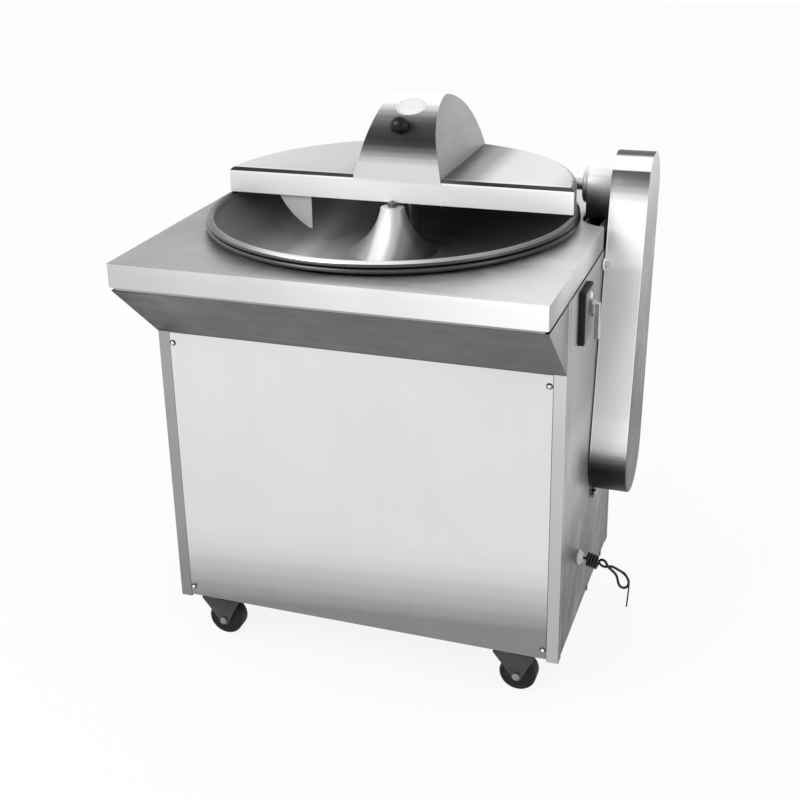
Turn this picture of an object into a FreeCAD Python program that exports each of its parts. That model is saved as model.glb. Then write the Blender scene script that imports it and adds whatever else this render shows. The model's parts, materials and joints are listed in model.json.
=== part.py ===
import FreeCAD, Part
import math
import os

import Sketcher

# Bowl cutter with a turning trough bowl, a knife shaft at its back, a belt drive in a side guard
# and a hood that tilts back. Millimetres. X runs to the belt guard, Y to the hinges, Z up from the floor.

DIMENSIONS = {
    # table
    "table_margin": 36,
    "table_deep_margin": 36,
    "table_height": 750,
    "table_corner": 4,
    "table_edge": 38,
    "table_sheet": 2,
    "table_hole_gap": 5,
    "lip_inset": 7,
    "lip_drop": 6.5,
    "frame_tube": 30,
    "frame_wall": 2,
    "notch_gap": 1,
    "notch_ahead": 57.5,
    "notch_radius": 45,
    # cabinet
    "cabinet_inset": 1,
    "cabinet_front": 209,
    "cabinet_rear": 222,
    "panel_base": 86,
    "post_side": 20,
    "post_foot": 5,
    "post_wall": 1.5,
    "panel_sheet": 1.5,
    "panel_gap": 0.5,
    "panel_fold": 12,
    "cornice_drop": 114.5,
    "cornice_sheet": 1.5,
    "rail_width": 40,
    "rail_height": 25,
    "rail_wall": 2,
    "top_rail_drop": 145,
    "fold_gap": 5,
    "screw_radius": 5.3,
    "screw_height": 3.2,
    "screw_inset": 14,
    "side_screw_rise": 9,
    "side_screw_near": 25,
    "side_screw_far": 150,
    # bowl
    "rim_radius": 297,
    "rim_height": 24,
    "roll_radius": 6,
    "bead_radius": 4,
    "bead_height": 9.5,
    "bead_seat": 2,
    "bead_proud": 1,
    "bowl_depth": 88,
    "trough_radius": 155,
    "flank_radius": 105,
    "cone_height": 21,
    "cone_top_radius": 19.7,
    "bowl_wall": 3,
    "hub_depth": 31,
    "spindle_radius": 12.5,
    "stud_radius": 5,
    "shoulder_radius": 17.5,
    "shoulder_height": 6,
    "nut_radius": 7.6,
    "nut_height": 9,
    # bowl drive
    "plate_thickness": 8,
    "plate_width": 140,
    "plate_gap": 1,
    "flange_radius": 58,
    "flange_height": 10,
    "sleeve_radius": 32,
    "sleeve_height": 92,
    "sleeve_root": 4,
    "bearing_outer": 26,
    "bearing_width": 15,
    "gearbox_side": 120,
    "gearbox_height": 110,
    "gearbox_flange": 12,
    "bowl_motor_radius": 62,
    "bowl_motor_length": 190,
    "running_gap": 0.05,
    # knife shaft
    "shaft_back": 145,
    "shaft_rise": 42,
    "shaft_radius": 10,
    "journal_radius": 12.5,
    "shaft_left": 42,
    "collar_width": 8,
    "knife_gap": 5,
    "knife_thickness": 4,
    "knife_pitch": 22,
    "knife_start": 14,
    "knife_hub_radius": 24,
    "spacer_radius": 21,
    "knife_nut_radius": 19,
    "knife_nut_width": 14,
    "housing_gap": 0.5,
    "housing_length": 43,
    "cap_radius": 30,
    "cap_length": 10,
    "cap_seat": 2,
    # belt drive
    "belt_span": 446,
    "belt_tilt": 10.3,
    "knife_pulley_radius": 38,
    "motor_pulley_radius": 56,
    "pulley_width": 34,
    "pulley_gap": 13,
    "belt_pitch": 15,
    "belt_top_width": 11.5,
    "belt_height": 8,
    "belt_gap": 0.3,
    "guard_gap": 1,
    "shaft_hole_gap": 3,
    "guard_depth": 62,
    "guard_sheet": 2,
    "guard_top_radius": 61,
    "guard_bottom_radius": 76,
    "guard_bend": 2.5,
    "ear_radius": 10,
    "ear_bite": 2,
    "ear_drop": 122,
    "ear_front": 18,
    "ear_low": 82,
    # knife motor
    "motor_radius": 80,
    "motor_length": 250,
    "motor_shaft_radius": 14,
    "motor_shaft_depth": 60,
    "motor_end_gap": 30,
    "motor_foot_width": 150,
    "motor_foot_gap": 12,
    "motor_foot_thickness": 10,
    "motor_foot_inset": 40,
    "fin_depth": 6,
    "terminal_left": 70,
    "terminal_length": 80,
    "terminal_width": 76,
    "terminal_height": 34,
    "motor_rail_side": 30,
    # cover
    "cover_overlap": 5,
    "cover_wall": 2,
    "cover_front": 10,
    "skirt_base": 26,
    "cover_top": 69,
    "cover_bend": 9,
    "arch_left": 71,
    "arch_right": 81,
    "arch_lean": 61,
    "arch_top": 204,
    "arch_nose": 58,
    "arch_bulge": 26,
    "arch_rear": 18.6,
    "arch_angle": 78,
    "slot_gap": 4,
    "slot_start": 162,
    "hinge_reach": 23,
    "hinge_rise": 35,
    "hinge_spread": 60,
    "hinge_pin_radius": 5,
    "hinge_eye_radius": 9,
    "hinge_leaf_width": 24,
    "hinge_ear": 4,
    "hinge_foot": 4,
    "hinge_edge": 2,
    "hinge_side_gap": 0.5,
    "pin_head": 3,
    "leaf_root": 20,
    "ball_radius": 16,
    "ball_reach": 20,
    "ball_side": 27,
    "ball_angle": 14.5,
    "scraper_left": 214,
    "scraper_right": 154,
    "scraper_depth": 33,
    "scraper_thickness": 3,
    "scraper_flange": 30,
    "scraper_tip": 4,
    "scraper_curve": 130,
    # controls and mains inlet
    "switch_front": 140,
    "switch_width": 61,
    "switch_top": 50,
    "switch_tall": 87,
    "switch_depth": 10,
    "face_thickness": 2,
    "button_radius": 6,
    "button_travel": 3,
    "selector_radius": 13,
    "selector_bar": 62,
    "selector_gap": 0.3,
    "dial_height": 5,
    "bar_height": 7,
    "face_inset": 3,
    "bush_height": 3,
    "gland_front": 72,
    "gland_drop": 545,
    "gland_radius": 13,
    "gland_reach": 10,
    "cord_radius": 2.2,
    "tie_radius": 1.3,
    "lead_length": 6,
    "hank_length": 62,
    "hank_radius": 13,
    "hank_slope": 14,
    # casters
    "caster_left_inset": 54,
    "caster_right_inset": 92,
    "caster_front_inset": 36,
    "caster_back_inset": 42,
    "caster_plate": 60,
    "caster_plate_thickness": 3,
    "caster_pin_radius": 6,
    "wheel_radius": 31.5,
    "wheel_width": 32,
    "wheel_trail": 19,
    "fork_sheet": 3,
    "fork_gap": 1.5,
    "axle_radius": 5,
    "axle_head": 4,
    "cheek_edge": 5,
    "race_radius": 22,
    "race_height": 9,
    "swivel_gap": 0.3,
}

FRONT_SIDE = -1
REAR_SIDE = 1

document = FreeCAD.newDocument("bowl_cutter")
sheet = document.addObject("Spreadsheet::Sheet", "Sheet")
for row, (alias, number) in enumerate(DIMENSIONS.items(), start=1):
    sheet.set(f"A{row}", alias)
    sheet.set(f"B{row}", str(number))
    sheet.setAlias(f"B{row}", alias)
document.recompute()


class Size:
    """A length with the sheet expression that gives it."""

    def __init__(self, value, text):
        self.value = float(value)
        self.text = text

    def __add__(self, other):
        other = as_size(other)
        return Size(self.value + other.value, f"({self.text} + {other.text})")

    def __sub__(self, other):
        other = as_size(other)
        return Size(self.value - other.value, f"({self.text} - {other.text})")

    def __mul__(self, other):
        other = as_size(other)
        return Size(self.value * other.value, f"({self.text} * {other.text})")

    def __truediv__(self, other):
        other = as_size(other)
        return Size(self.value / other.value, f"({self.text} / {other.text})")

    def __neg__(self):
        return Size(-self.value, f"(0 - {self.text})")

    __radd__ = __add__
    __rmul__ = __mul__

    def __rsub__(self, other):
        return as_size(other) - self


def as_size(number):
    return number if isinstance(number, Size) else Size(number, f"{float(number):g}")


def root(size):
    return Size(math.sqrt(size.value), f"sqrt({size.text})")


def cosine(angle):
    return Size(math.cos(math.radians(angle.value)), f"cos({angle.text} * 1 deg)")


def sine(angle):
    return Size(math.sin(math.radians(angle.value)), f"sin({angle.text} * 1 deg)")


def sized(alias):
    return Size(float(sheet.get(alias)), f"Sheet.{alias}")


def bind(thing, name, size):
    thing.setExpression(name, as_size(size).text)


# Outlines. Each one is a function that draws a closed loop in a sketch, with its corners bound to sizes.

def fix_point(sketch, edge, end, x, y):
    for kind, size in (("DistanceX", x), ("DistanceY", y)):
        number = sketch.addConstraint(Sketcher.Constraint(kind, -1, 1, edge, end, size.value))
        bind(sketch, f"Constraints[{number}]", size)


def circle(x, y, radius):
    x, y, radius = as_size(x), as_size(y), as_size(radius)

    def draw(sketch):
        centre = FreeCAD.Vector(x.value, y.value, 0)
        edge = sketch.addGeometry(Part.Circle(centre, FreeCAD.Vector(0, 0, 1), radius.value))
        fix_point(sketch, edge, 3, x, y)
        number = sketch.addConstraint(Sketcher.Constraint("Radius", edge, radius.value))
        bind(sketch, f"Constraints[{number}]", radius)

    return draw


def arc_between(first, last, radius):
    """The arc under half a turn from first to last, with its centre on the left for a positive radius."""
    chord = last - first
    side = FreeCAD.Vector(-chord.y, chord.x, 0).normalize() * math.copysign(1, radius)
    rise = math.sqrt(max(radius * radius - chord.Length ** 2 / 4, 0))
    centre = (first + last) / 2 + side * rise
    angles = [math.atan2(point.y - centre.y, point.x - centre.x) for point in (first, last)]
    if radius < 0:
        angles.reverse()
    ring = Part.Circle(centre, FreeCAD.Vector(0, 0, 1), abs(radius))
    return Part.ArcOfCircle(ring, angles[0], angles[1])


def loop(corners):
    """A closed loop. A corner is (x, y), or (x, y, radius) where an arc leads to the next corner:
    its radius is positive for a turn to the left and negative for a turn to the right."""
    corners = [[as_size(number) for number in corner] for corner in corners]

    def draw(sketch):
        points = [FreeCAD.Vector(corner[0].value, corner[1].value, 0) for corner in corners]
        ends = []
        for here, corner in enumerate(corners):
            following = points[(here + 1) % len(points)]
            if len(corner) == 2:
                edge = sketch.addGeometry(Part.LineSegment(points[here], following))
                ends.append((edge, 1, 2))
                continue
            edge = sketch.addGeometry(arc_between(points[here], following, corner[2].value))
            ends.append((edge, 1, 2) if corner[2].value > 0 else (edge, 2, 1))
            radius = corner[2] if corner[2].value > 0 else -corner[2]
            number = sketch.addConstraint(Sketcher.Constraint("Radius", edge, radius.value))
            bind(sketch, f"Constraints[{number}]", radius)
        for here, (edge, start, _) in enumerate(ends):
            before, _, end = ends[here - 1]
            sketch.addConstraint(Sketcher.Constraint("Coincident", before, end, edge, start))
            fix_point(sketch, edge, start, corners[here][0], corners[here][1])

    return draw


def rectangle(left, right, low, high):
    return loop([(left, low), (right, low), (right, high), (left, high)])


def drop_shape(top_radius, span, bottom_radius):
    """Two circles, one above the other, joined by the lines that touch both."""
    lean = (top_radius - bottom_radius) / span
    reach = root(1 - lean * lean)
    upper = (top_radius * reach, -top_radius * lean)
    lower = (bottom_radius * reach, -span - bottom_radius * lean)
    return loop([
        (0, top_radius, -top_radius),
        upper,
        (lower[0], lower[1], -bottom_radius),
        (0, -span - bottom_radius, -bottom_radius),
        (-lower[0], lower[1]),
        (-upper[0], upper[1], -top_radius),
    ])


# Bodies and features

def new_body(label):
    body = document.addObject("PartDesign::Body", label)
    body.Label = label
    return body


def new_sketch(body, name, plane, level=0):
    sketch = body.newObject("Sketcher::SketchObject", name)
    support = [item for item in body.Origin.OriginFeatures if item.Role == plane + "_Plane"][0]
    sketch.AttachmentSupport = [(support, "")]
    sketch.MapMode = "FlatFace"
    bind(sketch, "AttachmentOffset.Base.z", level)
    return sketch


PLANES = {"x": ("YZ", 1), "y": ("XZ", -1), "z": ("XY", 1)}


def extrude(body, name, axis, low, high, outlines, cut=False):
    """Pads outlines from low to high along an axis, or pockets them there."""
    low, high = as_size(low), as_size(high)
    plane, sign = PLANES[axis]
    before = body.Shape.Volume if cut else 0
    sketch = new_sketch(body, name + "_outline", plane, low * sign)
    for draw in outlines:
        draw(sketch)
    feature = body.newObject("PartDesign::Pocket" if cut else "PartDesign::Pad", name)
    feature.Profile = sketch
    bind(feature, "Length", high - low)
    feature.Reversed = (sign < 0) != cut
    document.recompute()
    if cut and body.Shape.Volume > before - 1:
        raise RuntimeError(f"{body.Label} {name} cuts nothing")
    return feature


def pocket(body, name, axis, low, high, outlines):
    return extrude(body, name, axis, low, high, outlines, cut=True)


def revolve(body, name, outline, axis="Z", cut=False):
    """Turns an outline in the XZ plane about Z or X."""
    before = body.Shape.Volume if cut else 0
    sketch = new_sketch(body, name + "_outline", "XZ")
    outline(sketch)
    feature = body.newObject("PartDesign::Groove" if cut else "PartDesign::Revolution", name)
    feature.Profile = sketch
    line = [item for item in body.Origin.OriginFeatures if item.Role == axis + "_Axis"][0]
    feature.ReferenceAxis = (line, [""])
    feature.Angle = 360
    document.recompute()
    if cut and body.Shape.Volume > before - 1:
        raise RuntimeError(f"{body.Label} {name} cuts nothing")
    return feature


def dress(body, kind, name, size, choose):
    """Fillets or chamfers the edges that choose picks."""
    base = body.Tip
    names = [f"Edge{number}" for number, edge in enumerate(base.Shape.Edges, start=1) if choose(edge)]
    if not names:
        raise RuntimeError(f"{body.Label} {name} finds no edge")
    feature = body.newObject("PartDesign::" + kind, name)
    feature.Base = (base, names)
    bind(feature, "Radius" if kind == "Fillet" else "Size", size)
    document.recompute()
    return feature


def place(thing, x=0, y=0, z=0, axis=None, angle=None):
    """Puts a sub-part at a point counted from the bowl's axis, turned about an axis if one is given."""
    if axis is not None:
        thing.Placement.Rotation = FreeCAD.Rotation(FreeCAD.Vector(*axis), as_size(angle).value)
        bind(thing, "Placement.Rotation.Angle", angle)
    bind(thing, "Placement.Base.x", bowl_axis + x)
    bind(thing, "Placement.Base.y", y)
    bind(thing, "Placement.Base.z", z)


def near(value, target, reach=0.05):
    return abs(value - as_size(target).value) < reach


d = {alias: sized(alias) for alias in DIMENSIONS}

# Places that several pieces share

rim_outside = d["rim_radius"] + 2 * d["roll_radius"]
half_table = rim_outside + d["table_margin"]
half_depth = rim_outside + d["table_deep_margin"]
half_cabinet = half_table - d["cabinet_inset"]
top = d["table_height"]
guard_back = half_table + d["guard_gap"]
guard_face = guard_back + d["guard_depth"]
pulley_start = guard_back + d["guard_sheet"] + d["pulley_gap"]
housing_start = guard_back - d["housing_length"]
housing_radius = d["shaft_rise"] - d["housing_gap"]
cap_start = housing_start - d["cap_length"]
cover_radius = d["rim_radius"] + d["cover_overlap"]
hinge_back = cover_radius + d["hinge_reach"]
knife_radius = d["shaft_rise"] + d["bowl_depth"] - d["rim_height"] - d["knife_gap"]
bowl_axis = -(guard_face - half_table) / 2
lip_base = top - d["table_edge"] - d["lip_drop"]
front = -d["cabinet_front"]
rear = d["cabinet_rear"]
post_base = d["panel_base"] - d["post_foot"]
cornice_base = lip_base - d["cornice_drop"]
top_rail = top - d["top_rail_drop"]
shaft_level = top + d["shaft_rise"]
motor_back = d["shaft_back"] - d["belt_span"] * sine(d["belt_tilt"])
motor_level = shaft_level - d["belt_span"] * cosine(d["belt_tilt"])
motor_foot_height = d["motor_radius"] + d["motor_foot_gap"]
motor_plate_top = motor_level - motor_foot_height
inner_side = half_cabinet - d["panel_sheet"]
brow_back = d["cover_front"] + d["arch_nose"] - d["arch_bulge"]


def table_top():
    body = new_body("table_top")
    base = top - d["table_edge"]
    inner = d["table_sheet"]
    extrude(body, "slab", "z", base, top, [rectangle(-half_table, half_table, -half_depth, half_depth)])
    dress(body, "Fillet", "corners", d["table_corner"],
          lambda edge: near(edge.BoundBox.ZLength, d["table_edge"]))
    pocket(body, "hollow", "z", base, top - inner,
           [rectangle(-half_table + inner, half_table - inner, -half_depth + inner, half_depth - inner)])
    hole = d["rim_radius"] - d["bowl_wall"] + d["table_hole_gap"]
    pocket(body, "bowl_hole", "z", top - inner, top, [circle(0, 0, hole)])
    left = housing_start - d["notch_gap"]
    near_y = d["shaft_back"] - housing_radius - d["notch_ahead"]
    far_y = d["shaft_back"] + housing_radius + d["notch_gap"]
    turn = d["notch_radius"]
    pocket(body, "housing_notch", "z", base, top, [loop([
        (left, near_y + turn, turn), (left + turn, near_y), (half_table + turn, near_y),
        (half_table + turn, far_y), (left, far_y),
    ])])
    place(body)
    return body


def table_frame():
    body = new_body("table_frame")
    out_x = half_table - d["lip_inset"]
    out_y = half_depth - d["lip_inset"]
    high = top - d["table_sheet"]
    tube, wall = d["frame_tube"], d["frame_wall"]
    extrude(body, "ring", "z", lip_base, high, [
        rectangle(-out_x, out_x, -out_y, out_y),
        rectangle(-out_x + tube, out_x - tube, -out_y + tube, out_y - tube),
    ])
    near_edge = tube - wall
    pocket(body, "channel", "z", lip_base + wall, high, [
        rectangle(-out_x + wall, out_x - wall, -out_y + wall, out_y - wall),
        rectangle(-out_x + near_edge, out_x - near_edge, -out_y + near_edge, out_y - near_edge),
    ])
    place(body)
    return body


def cornice_panels():
    """Sloping sheets with closed ends that lead from the cabinet out under the table."""
    body = new_body("cornice_panels")
    sheet_gap = d["cornice_sheet"]
    for name, wall, edge, side in (("front", front, -half_depth + d["lip_inset"], FRONT_SIDE),
                                   ("rear", rear, half_depth - d["lip_inset"], REAR_SIDE)):
        slope = [(wall, lip_base), (wall, cornice_base), (edge, lip_base - sheet_gap), (edge, lip_base)]
        extrude(body, name + "_wedge", "x", -half_cabinet, half_cabinet, [loop(slope)])
        inset = sheet_gap * 1.6
        hollow = [
            (wall, lip_base),
            (wall, cornice_base + inset),
            (edge - inset * side, lip_base),
        ]
        pocket(body, name + "_hollow", "x", -half_cabinet + sheet_gap, half_cabinet - sheet_gap,
               [loop(hollow)])
    place(body)
    return body


def post_corners(inset=0):
    side = d["post_side"]
    squares = []
    for x in (-half_cabinet, half_cabinet - side):
        for y in (front, rear - side):
            squares.append(rectangle(x + inset, x + side - inset, y + inset, y + side - inset))
    return squares


def corner_posts():
    body = new_body("corner_posts")
    walls = post_corners() + post_corners(d["post_wall"])
    extrude(body, "tubes", "z", post_base, lip_base, walls)
    place(body)
    return body


def rail_ring(label, low, high, width, ends="xy"):
    """Channel rails between the posts: x names the left and right ones, y the front and rear ones."""
    body = new_body(label)
    sheet_in = d["panel_sheet"]
    post = d["post_side"]
    wall = d["rail_wall"]
    for inset, feature, base in ((as_size(0), "rails", low), (wall, "channels", low + wall)):
        outlines = []
        if "y" in ends:
            for near_y, far_y in ((front + sheet_in, front + sheet_in + width),
                                  (rear - sheet_in - width, rear - sheet_in)):
                outlines.append(rectangle(-half_cabinet + post, half_cabinet - post,
                                          near_y + inset, far_y - inset))
        if "x" in ends:
            low_y = front + (sheet_in + width if "y" in ends else post)
            high_y = rear - (sheet_in + width if "y" in ends else post)
            for near_x, far_x in ((-inner_side, -inner_side + width), (inner_side - width, inner_side)):
                outlines.append(rectangle(near_x + inset, far_x - inset, low_y, high_y))
        if feature == "rails":
            extrude(body, feature, "z", base, high, outlines)
        else:
            pocket(body, feature, "z", base, high, outlines)
    place(body)
    return body


def panel(label, axis, outer, inner, left, right, low, high, fold_base, holes=()):
    """A sheet panel with its two upright edges folded inwards between the rails."""
    body = new_body(label)
    depth = d["panel_fold"]
    thick = d["panel_sheet"]
    outside, inside = (inner, outer) if outer.value > inner.value else (outer, inner)
    sign = 1 if outer.value < inner.value else -1
    extrude(body, "sheet", axis, outside, inside, [rectangle(left, right, low, high)])
    if sign > 0:
        fold_low, fold_high = inner, inner + depth
    else:
        fold_low, fold_high = inner - depth, inner
    fold_top = top_rail - d["rail_height"] - d["fold_gap"]
    for name, start, end in (("left_fold", left, left + thick), ("right_fold", right - thick, right)):
        extrude(body, name, axis, fold_low, fold_high, [rectangle(start, end, fold_base, fold_top)])
    for number, hole in enumerate(holes):
        pocket(body, f"hole_{number}", axis, outside, inside, [hole])
    place(body)
    return body


def cabinet_panels():
    gap = d["panel_gap"]
    thick = d["panel_sheet"]
    post = d["post_side"]
    base = d["panel_base"]
    side = half_cabinet - post - gap
    near_y = front + post + gap
    far_y = rear - post - gap
    face_fold = base + d["rail_height"] + d["fold_gap"]
    side_fold = motor_plate_top
    face_top = cornice_base - gap
    side_top = lip_base - gap
    shaft_hole = circle(motor_back, motor_level, d["motor_shaft_radius"] * 1.5)
    gland_hole = circle(-d["gland_front"], top - d["gland_drop"], d["gland_radius"] * 0.6)
    left, right = -half_cabinet, half_cabinet
    return [
        panel("front_panel", "y", front, front + thick, -side, side, base, face_top, face_fold),
        panel("back_panel", "y", rear, rear - thick, -side, side, base, face_top, face_fold),
        panel("left_panel", "x", left, left + thick, near_y, far_y, base, side_top, side_fold),
        panel("right_panel", "x", right, right - thick, near_y, far_y, base, side_top, side_fold,
              [shaft_hole, gland_hole]),
    ]


def panel_screws():
    body = new_body("panel_screws")
    inset = d["screw_inset"]
    radius, height = d["screw_radius"], d["screw_height"]
    side = half_cabinet - d["post_side"] - inset
    low = d["panel_base"] + inset
    high = cornice_base - inset
    faces = [circle(x, z, radius) for x in (-side, side) for z in (low, high)]
    near_y, far_y = d["side_screw_near"], d["side_screw_far"]
    side_low = d["panel_base"] + d["side_screw_rise"]
    side_high = lip_base - inset
    low_heads = [circle(near_y, side_low, radius), circle(far_y, side_low, radius)]
    high_heads = [circle(near_y, side_high, radius), circle(far_y, side_high, radius)]
    extrude(body, "front_heads", "y", front - height, front, faces)
    extrude(body, "back_heads", "y", rear, rear + height, faces)
    extrude(body, "left_heads", "x", -half_cabinet - height, -half_cabinet, low_heads + high_heads)
    extrude(body, "right_heads", "x", half_cabinet, half_cabinet + height, low_heads)
    dress(body, "Fillet", "domes", height * 0.45, lambda edge: is_outer_ring(edge, height))
    place(body)
    return body


def is_outer_ring(edge, height):
    centre = edge.BoundBox.Center
    outside_y = near(centre.y, front - height) or near(centre.y, rear + height)
    outside_x = near(abs(centre.x), half_cabinet + height)
    return edge.Curve.TypeId == "Part::GeomCircle" and (outside_x or outside_y)


# Bowl

def rim_arc_centre():
    """Height of the centre of the trough's outer arc above the trough's bottom."""
    run = d["rim_radius"] - d["trough_radius"]
    rise = d["bowl_depth"] - d["roll_radius"]
    return (run * run + rise * rise) / (2 * rise)


def bowl():
    body = new_body("bowl")
    wall = d["bowl_wall"]
    flank = d["flank_radius"]
    roll = d["roll_radius"]
    bead = d["bead_radius"]
    bottom = d["rim_height"] - d["bowl_depth"]
    trough = d["trough_radius"]
    outer_arc = rim_arc_centre()
    cone_rise = d["cone_height"] - bottom - flank
    inner_ring = d["cone_top_radius"] + root(flank * flank - cone_rise * cone_rise)
    roll_level = d["rim_height"] - roll
    bead_level = d["bead_height"]
    bead_axis = rim_outside - bead + d["bead_proud"]
    wall_end = bead_level + d["bead_seat"]
    wall_reach = wall_end - bottom - outer_arc
    shell = outer_arc + wall
    wall_radius = trough + root(shell * shell - wall_reach * wall_reach)
    hub_base = d["cone_height"] - d["hub_depth"]
    thick_flank = flank + wall
    hub_reach = hub_base - bottom - flank
    hub_radius = inner_ring - root(thick_flank * thick_flank - hub_reach * hub_reach)
    bore = d["stud_radius"] + d["running_gap"]
    profile = loop([
        (bore, d["cone_height"]),
        (d["cone_top_radius"], d["cone_height"], flank),
        (inner_ring, bottom),
        (trough, bottom, outer_arc),
        (d["rim_radius"], roll_level, -roll),
        (d["rim_radius"] + roll, d["rim_height"], -roll),
        (rim_outside, roll_level),
        (bead_axis, bead_level + bead, -bead),
        (bead_axis + bead, bead_level, -bead),
        (bead_axis, bead_level - bead),
        (bead_axis - bead, bead_level - bead),
        (bead_axis - bead, wall_end),
        (wall_radius, wall_end, -shell),
        (trough, bottom - wall),
        (inner_ring, bottom - wall, -thick_flank),
        (hub_radius, hub_base),
        (bore, hub_base),
    ])
    revolve(body, "spun_bowl", profile)
    place(body, z=top)
    return body


def bowl_spindle():
    """Stepped spindle: a stud through the cone, a shoulder under it and a journal down to the gearbox."""
    body = new_body("bowl_spindle")
    stud, journal = d["stud_radius"], d["spindle_radius"]
    high = d["cone_height"] + d["nut_height"] * 0.8
    shoulder = d["cone_height"] - d["hub_depth"]
    low = -d["top_rail_drop"] - d["gearbox_height"] * 0.8
    step = shoulder - d["shoulder_height"]
    revolve(body, "shaft", loop([
        (0, low), (journal, low), (journal, step), (d["shoulder_radius"], step),
        (d["shoulder_radius"], shoulder), (stud, shoulder), (stud, high), (0, high),
    ]))
    dress(body, "Chamfer", "lead_in", 1, lambda edge: near(edge.BoundBox.ZMin, low)
          and edge.Curve.TypeId == "Part::GeomCircle")
    place(body, z=top)
    return body


def bowl_nut():
    body = new_body("bowl_nut")
    radius = d["nut_radius"]
    bore = d["stud_radius"] + d["running_gap"]
    low = d["cone_height"]
    high = low + d["nut_height"]
    cap = high + radius * 0.35
    revolve(body, "nut", loop([
        (bore, low), (radius, low), (radius, high - 2), (radius * 0.75, high), (0, cap),
        (0, high - 1), (bore, high - 1),
    ]))
    place(body, z=top)
    return body


# Bowl drive under the table

def spindle_plate():
    """Plate across the front and rear rails, with the spindle's hole in it."""
    body = new_body("spindle_plate")
    half = d["plate_width"] / 2
    inset = d["panel_sheet"] + d["plate_gap"]
    extrude(body, "plate", "z", top_rail, top_rail + d["plate_thickness"],
            [rectangle(-half, half, front + inset, rear - inset),
             circle(0, 0, d["sleeve_radius"] * 0.8)])
    place(body)
    return body


def spindle_housing():
    body = new_body("spindle_housing")
    base = d["plate_thickness"] - d["top_rail_drop"]
    flange = base + d["flange_height"]
    high = base + d["sleeve_height"]
    bore = d["bearing_outer"]
    revolve(body, "sleeve", loop([
        (bore, base), (d["flange_radius"], base), (d["flange_radius"], flange),
        (d["sleeve_radius"] + d["sleeve_root"], flange), (d["sleeve_radius"], flange + d["sleeve_root"]),
        (d["sleeve_radius"], high),
        (bore, high),
    ]))
    place(body, z=top)
    return body


def ball_bearings():
    """Two bearings on the bowl spindle and two on the knife shaft."""
    body = new_body("ball_bearings")
    outer = d["bearing_outer"]
    width = d["bearing_width"]
    bowl_bore = circle(0, 0, d["spindle_radius"] + d["running_gap"])
    low = top + d["plate_thickness"] - d["top_rail_drop"]
    high = low + d["sleeve_height"] - width
    for name, start in (("lower_bowl", low), ("upper_bowl", high)):
        extrude(body, name, "z", start, start + width, [circle(0, 0, outer), bowl_bore])
    back, level = d["shaft_back"], shaft_level
    left = housing_start + d["cap_seat"]
    right = guard_back - width
    for name, start in (("left_knife", left), ("right_knife", right)):
        extrude(body, name, "x", start, start + width,
                [circle(back, level, outer), circle(back, level, d["journal_radius"] + d["running_gap"])])
    place(body)
    return body


def gearbox():
    """Right-angle worm gearbox, a closed unit with a flange for its motor on the left."""
    body = new_body("gearbox")
    side = d["gearbox_side"] / 2
    high = top_rail
    low = high - d["gearbox_height"]
    extrude(body, "case", "z", low, high, [rectangle(-side, side, -side, side)])
    dress(body, "Fillet", "case_corners", side * 0.3,
          lambda edge: near(edge.BoundBox.ZLength, d["gearbox_height"]))
    extrude(body, "motor_flange", "x", -side - d["gearbox_flange"], -side / 2,
            [circle(0, (high + low) / 2, d["gearbox_height"] * 0.48)])
    pocket(body, "output_bore", "z", low, high, [circle(0, 0, d["spindle_radius"] + d["running_gap"])])
    place(body)
    return body


def finned_barrel(body, low, high, radius, fins):
    """A motor frame turned about X with ring-shaped cooling fins cut between low and high."""
    depth = d["fin_depth"]
    profile = [(low, 0), (low, radius)]
    pitch = (high - low) / (2 * fins + 1)
    for number in range(fins):
        start = low + pitch * (2 * number + 1)
        profile += [(start, radius), (start, radius - depth), (start + pitch, radius - depth),
                    (start + pitch, radius)]
    profile += [(high, radius), (high, 0)]
    revolve(body, "frame", loop(profile), axis="X")


def bowl_motor():
    body = new_body("bowl_motor")
    right = -d["gearbox_side"] / 2 - d["gearbox_flange"]
    finned_barrel(body, right - d["bowl_motor_length"], right, d["bowl_motor_radius"], 4)
    place(body, z=top_rail - d["gearbox_height"] / 2)
    return body


def knife_motor():
    """Foot-mounted motor lying along X, with its shaft bore to the right."""
    body = new_body("knife_motor")
    right = inner_side - d["motor_end_gap"]
    left = right - d["motor_length"]
    radius = d["motor_radius"]
    finned_barrel(body, left, right, radius, 6)
    half_foot = d["motor_foot_width"] / 2
    low = -motor_foot_height
    foot = low + d["motor_foot_thickness"]
    inset = d["motor_foot_inset"]
    extrude(body, "feet", "x", left + inset, right - inset,
            [loop([(-half_foot, low), (half_foot, low), (half_foot, foot),
                   (radius * 0.6, -radius * 0.55), (-radius * 0.6, -radius * 0.55),
                   (-half_foot, foot)])])
    box = left + d["terminal_left"]
    box_deep = d["terminal_width"] / 2
    extrude(body, "terminal_box", "z", radius * 0.8, radius + d["terminal_height"],
            [rectangle(box, box + d["terminal_length"], -box_deep, box_deep)])
    pocket(body, "shaft_bore", "x", right - d["motor_shaft_depth"], right,
           [circle(0, 0, d["motor_shaft_radius"] + d["running_gap"])])
    place(body, y=motor_back, z=motor_level)
    return body


def motor_base_plate():
    body = new_body("motor_base_plate")
    right = inner_side - d["motor_end_gap"] - d["motor_foot_thickness"]
    deep = d["motor_foot_width"] / 2 + d["motor_foot_thickness"] * 1.5
    left = right - d["motor_length"] + d["motor_foot_thickness"]
    extrude(body, "plate", "z", motor_plate_top - d["plate_thickness"], motor_plate_top,
            [rectangle(left, right, -deep, deep)])
    place(body, y=motor_back)
    return body


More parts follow.
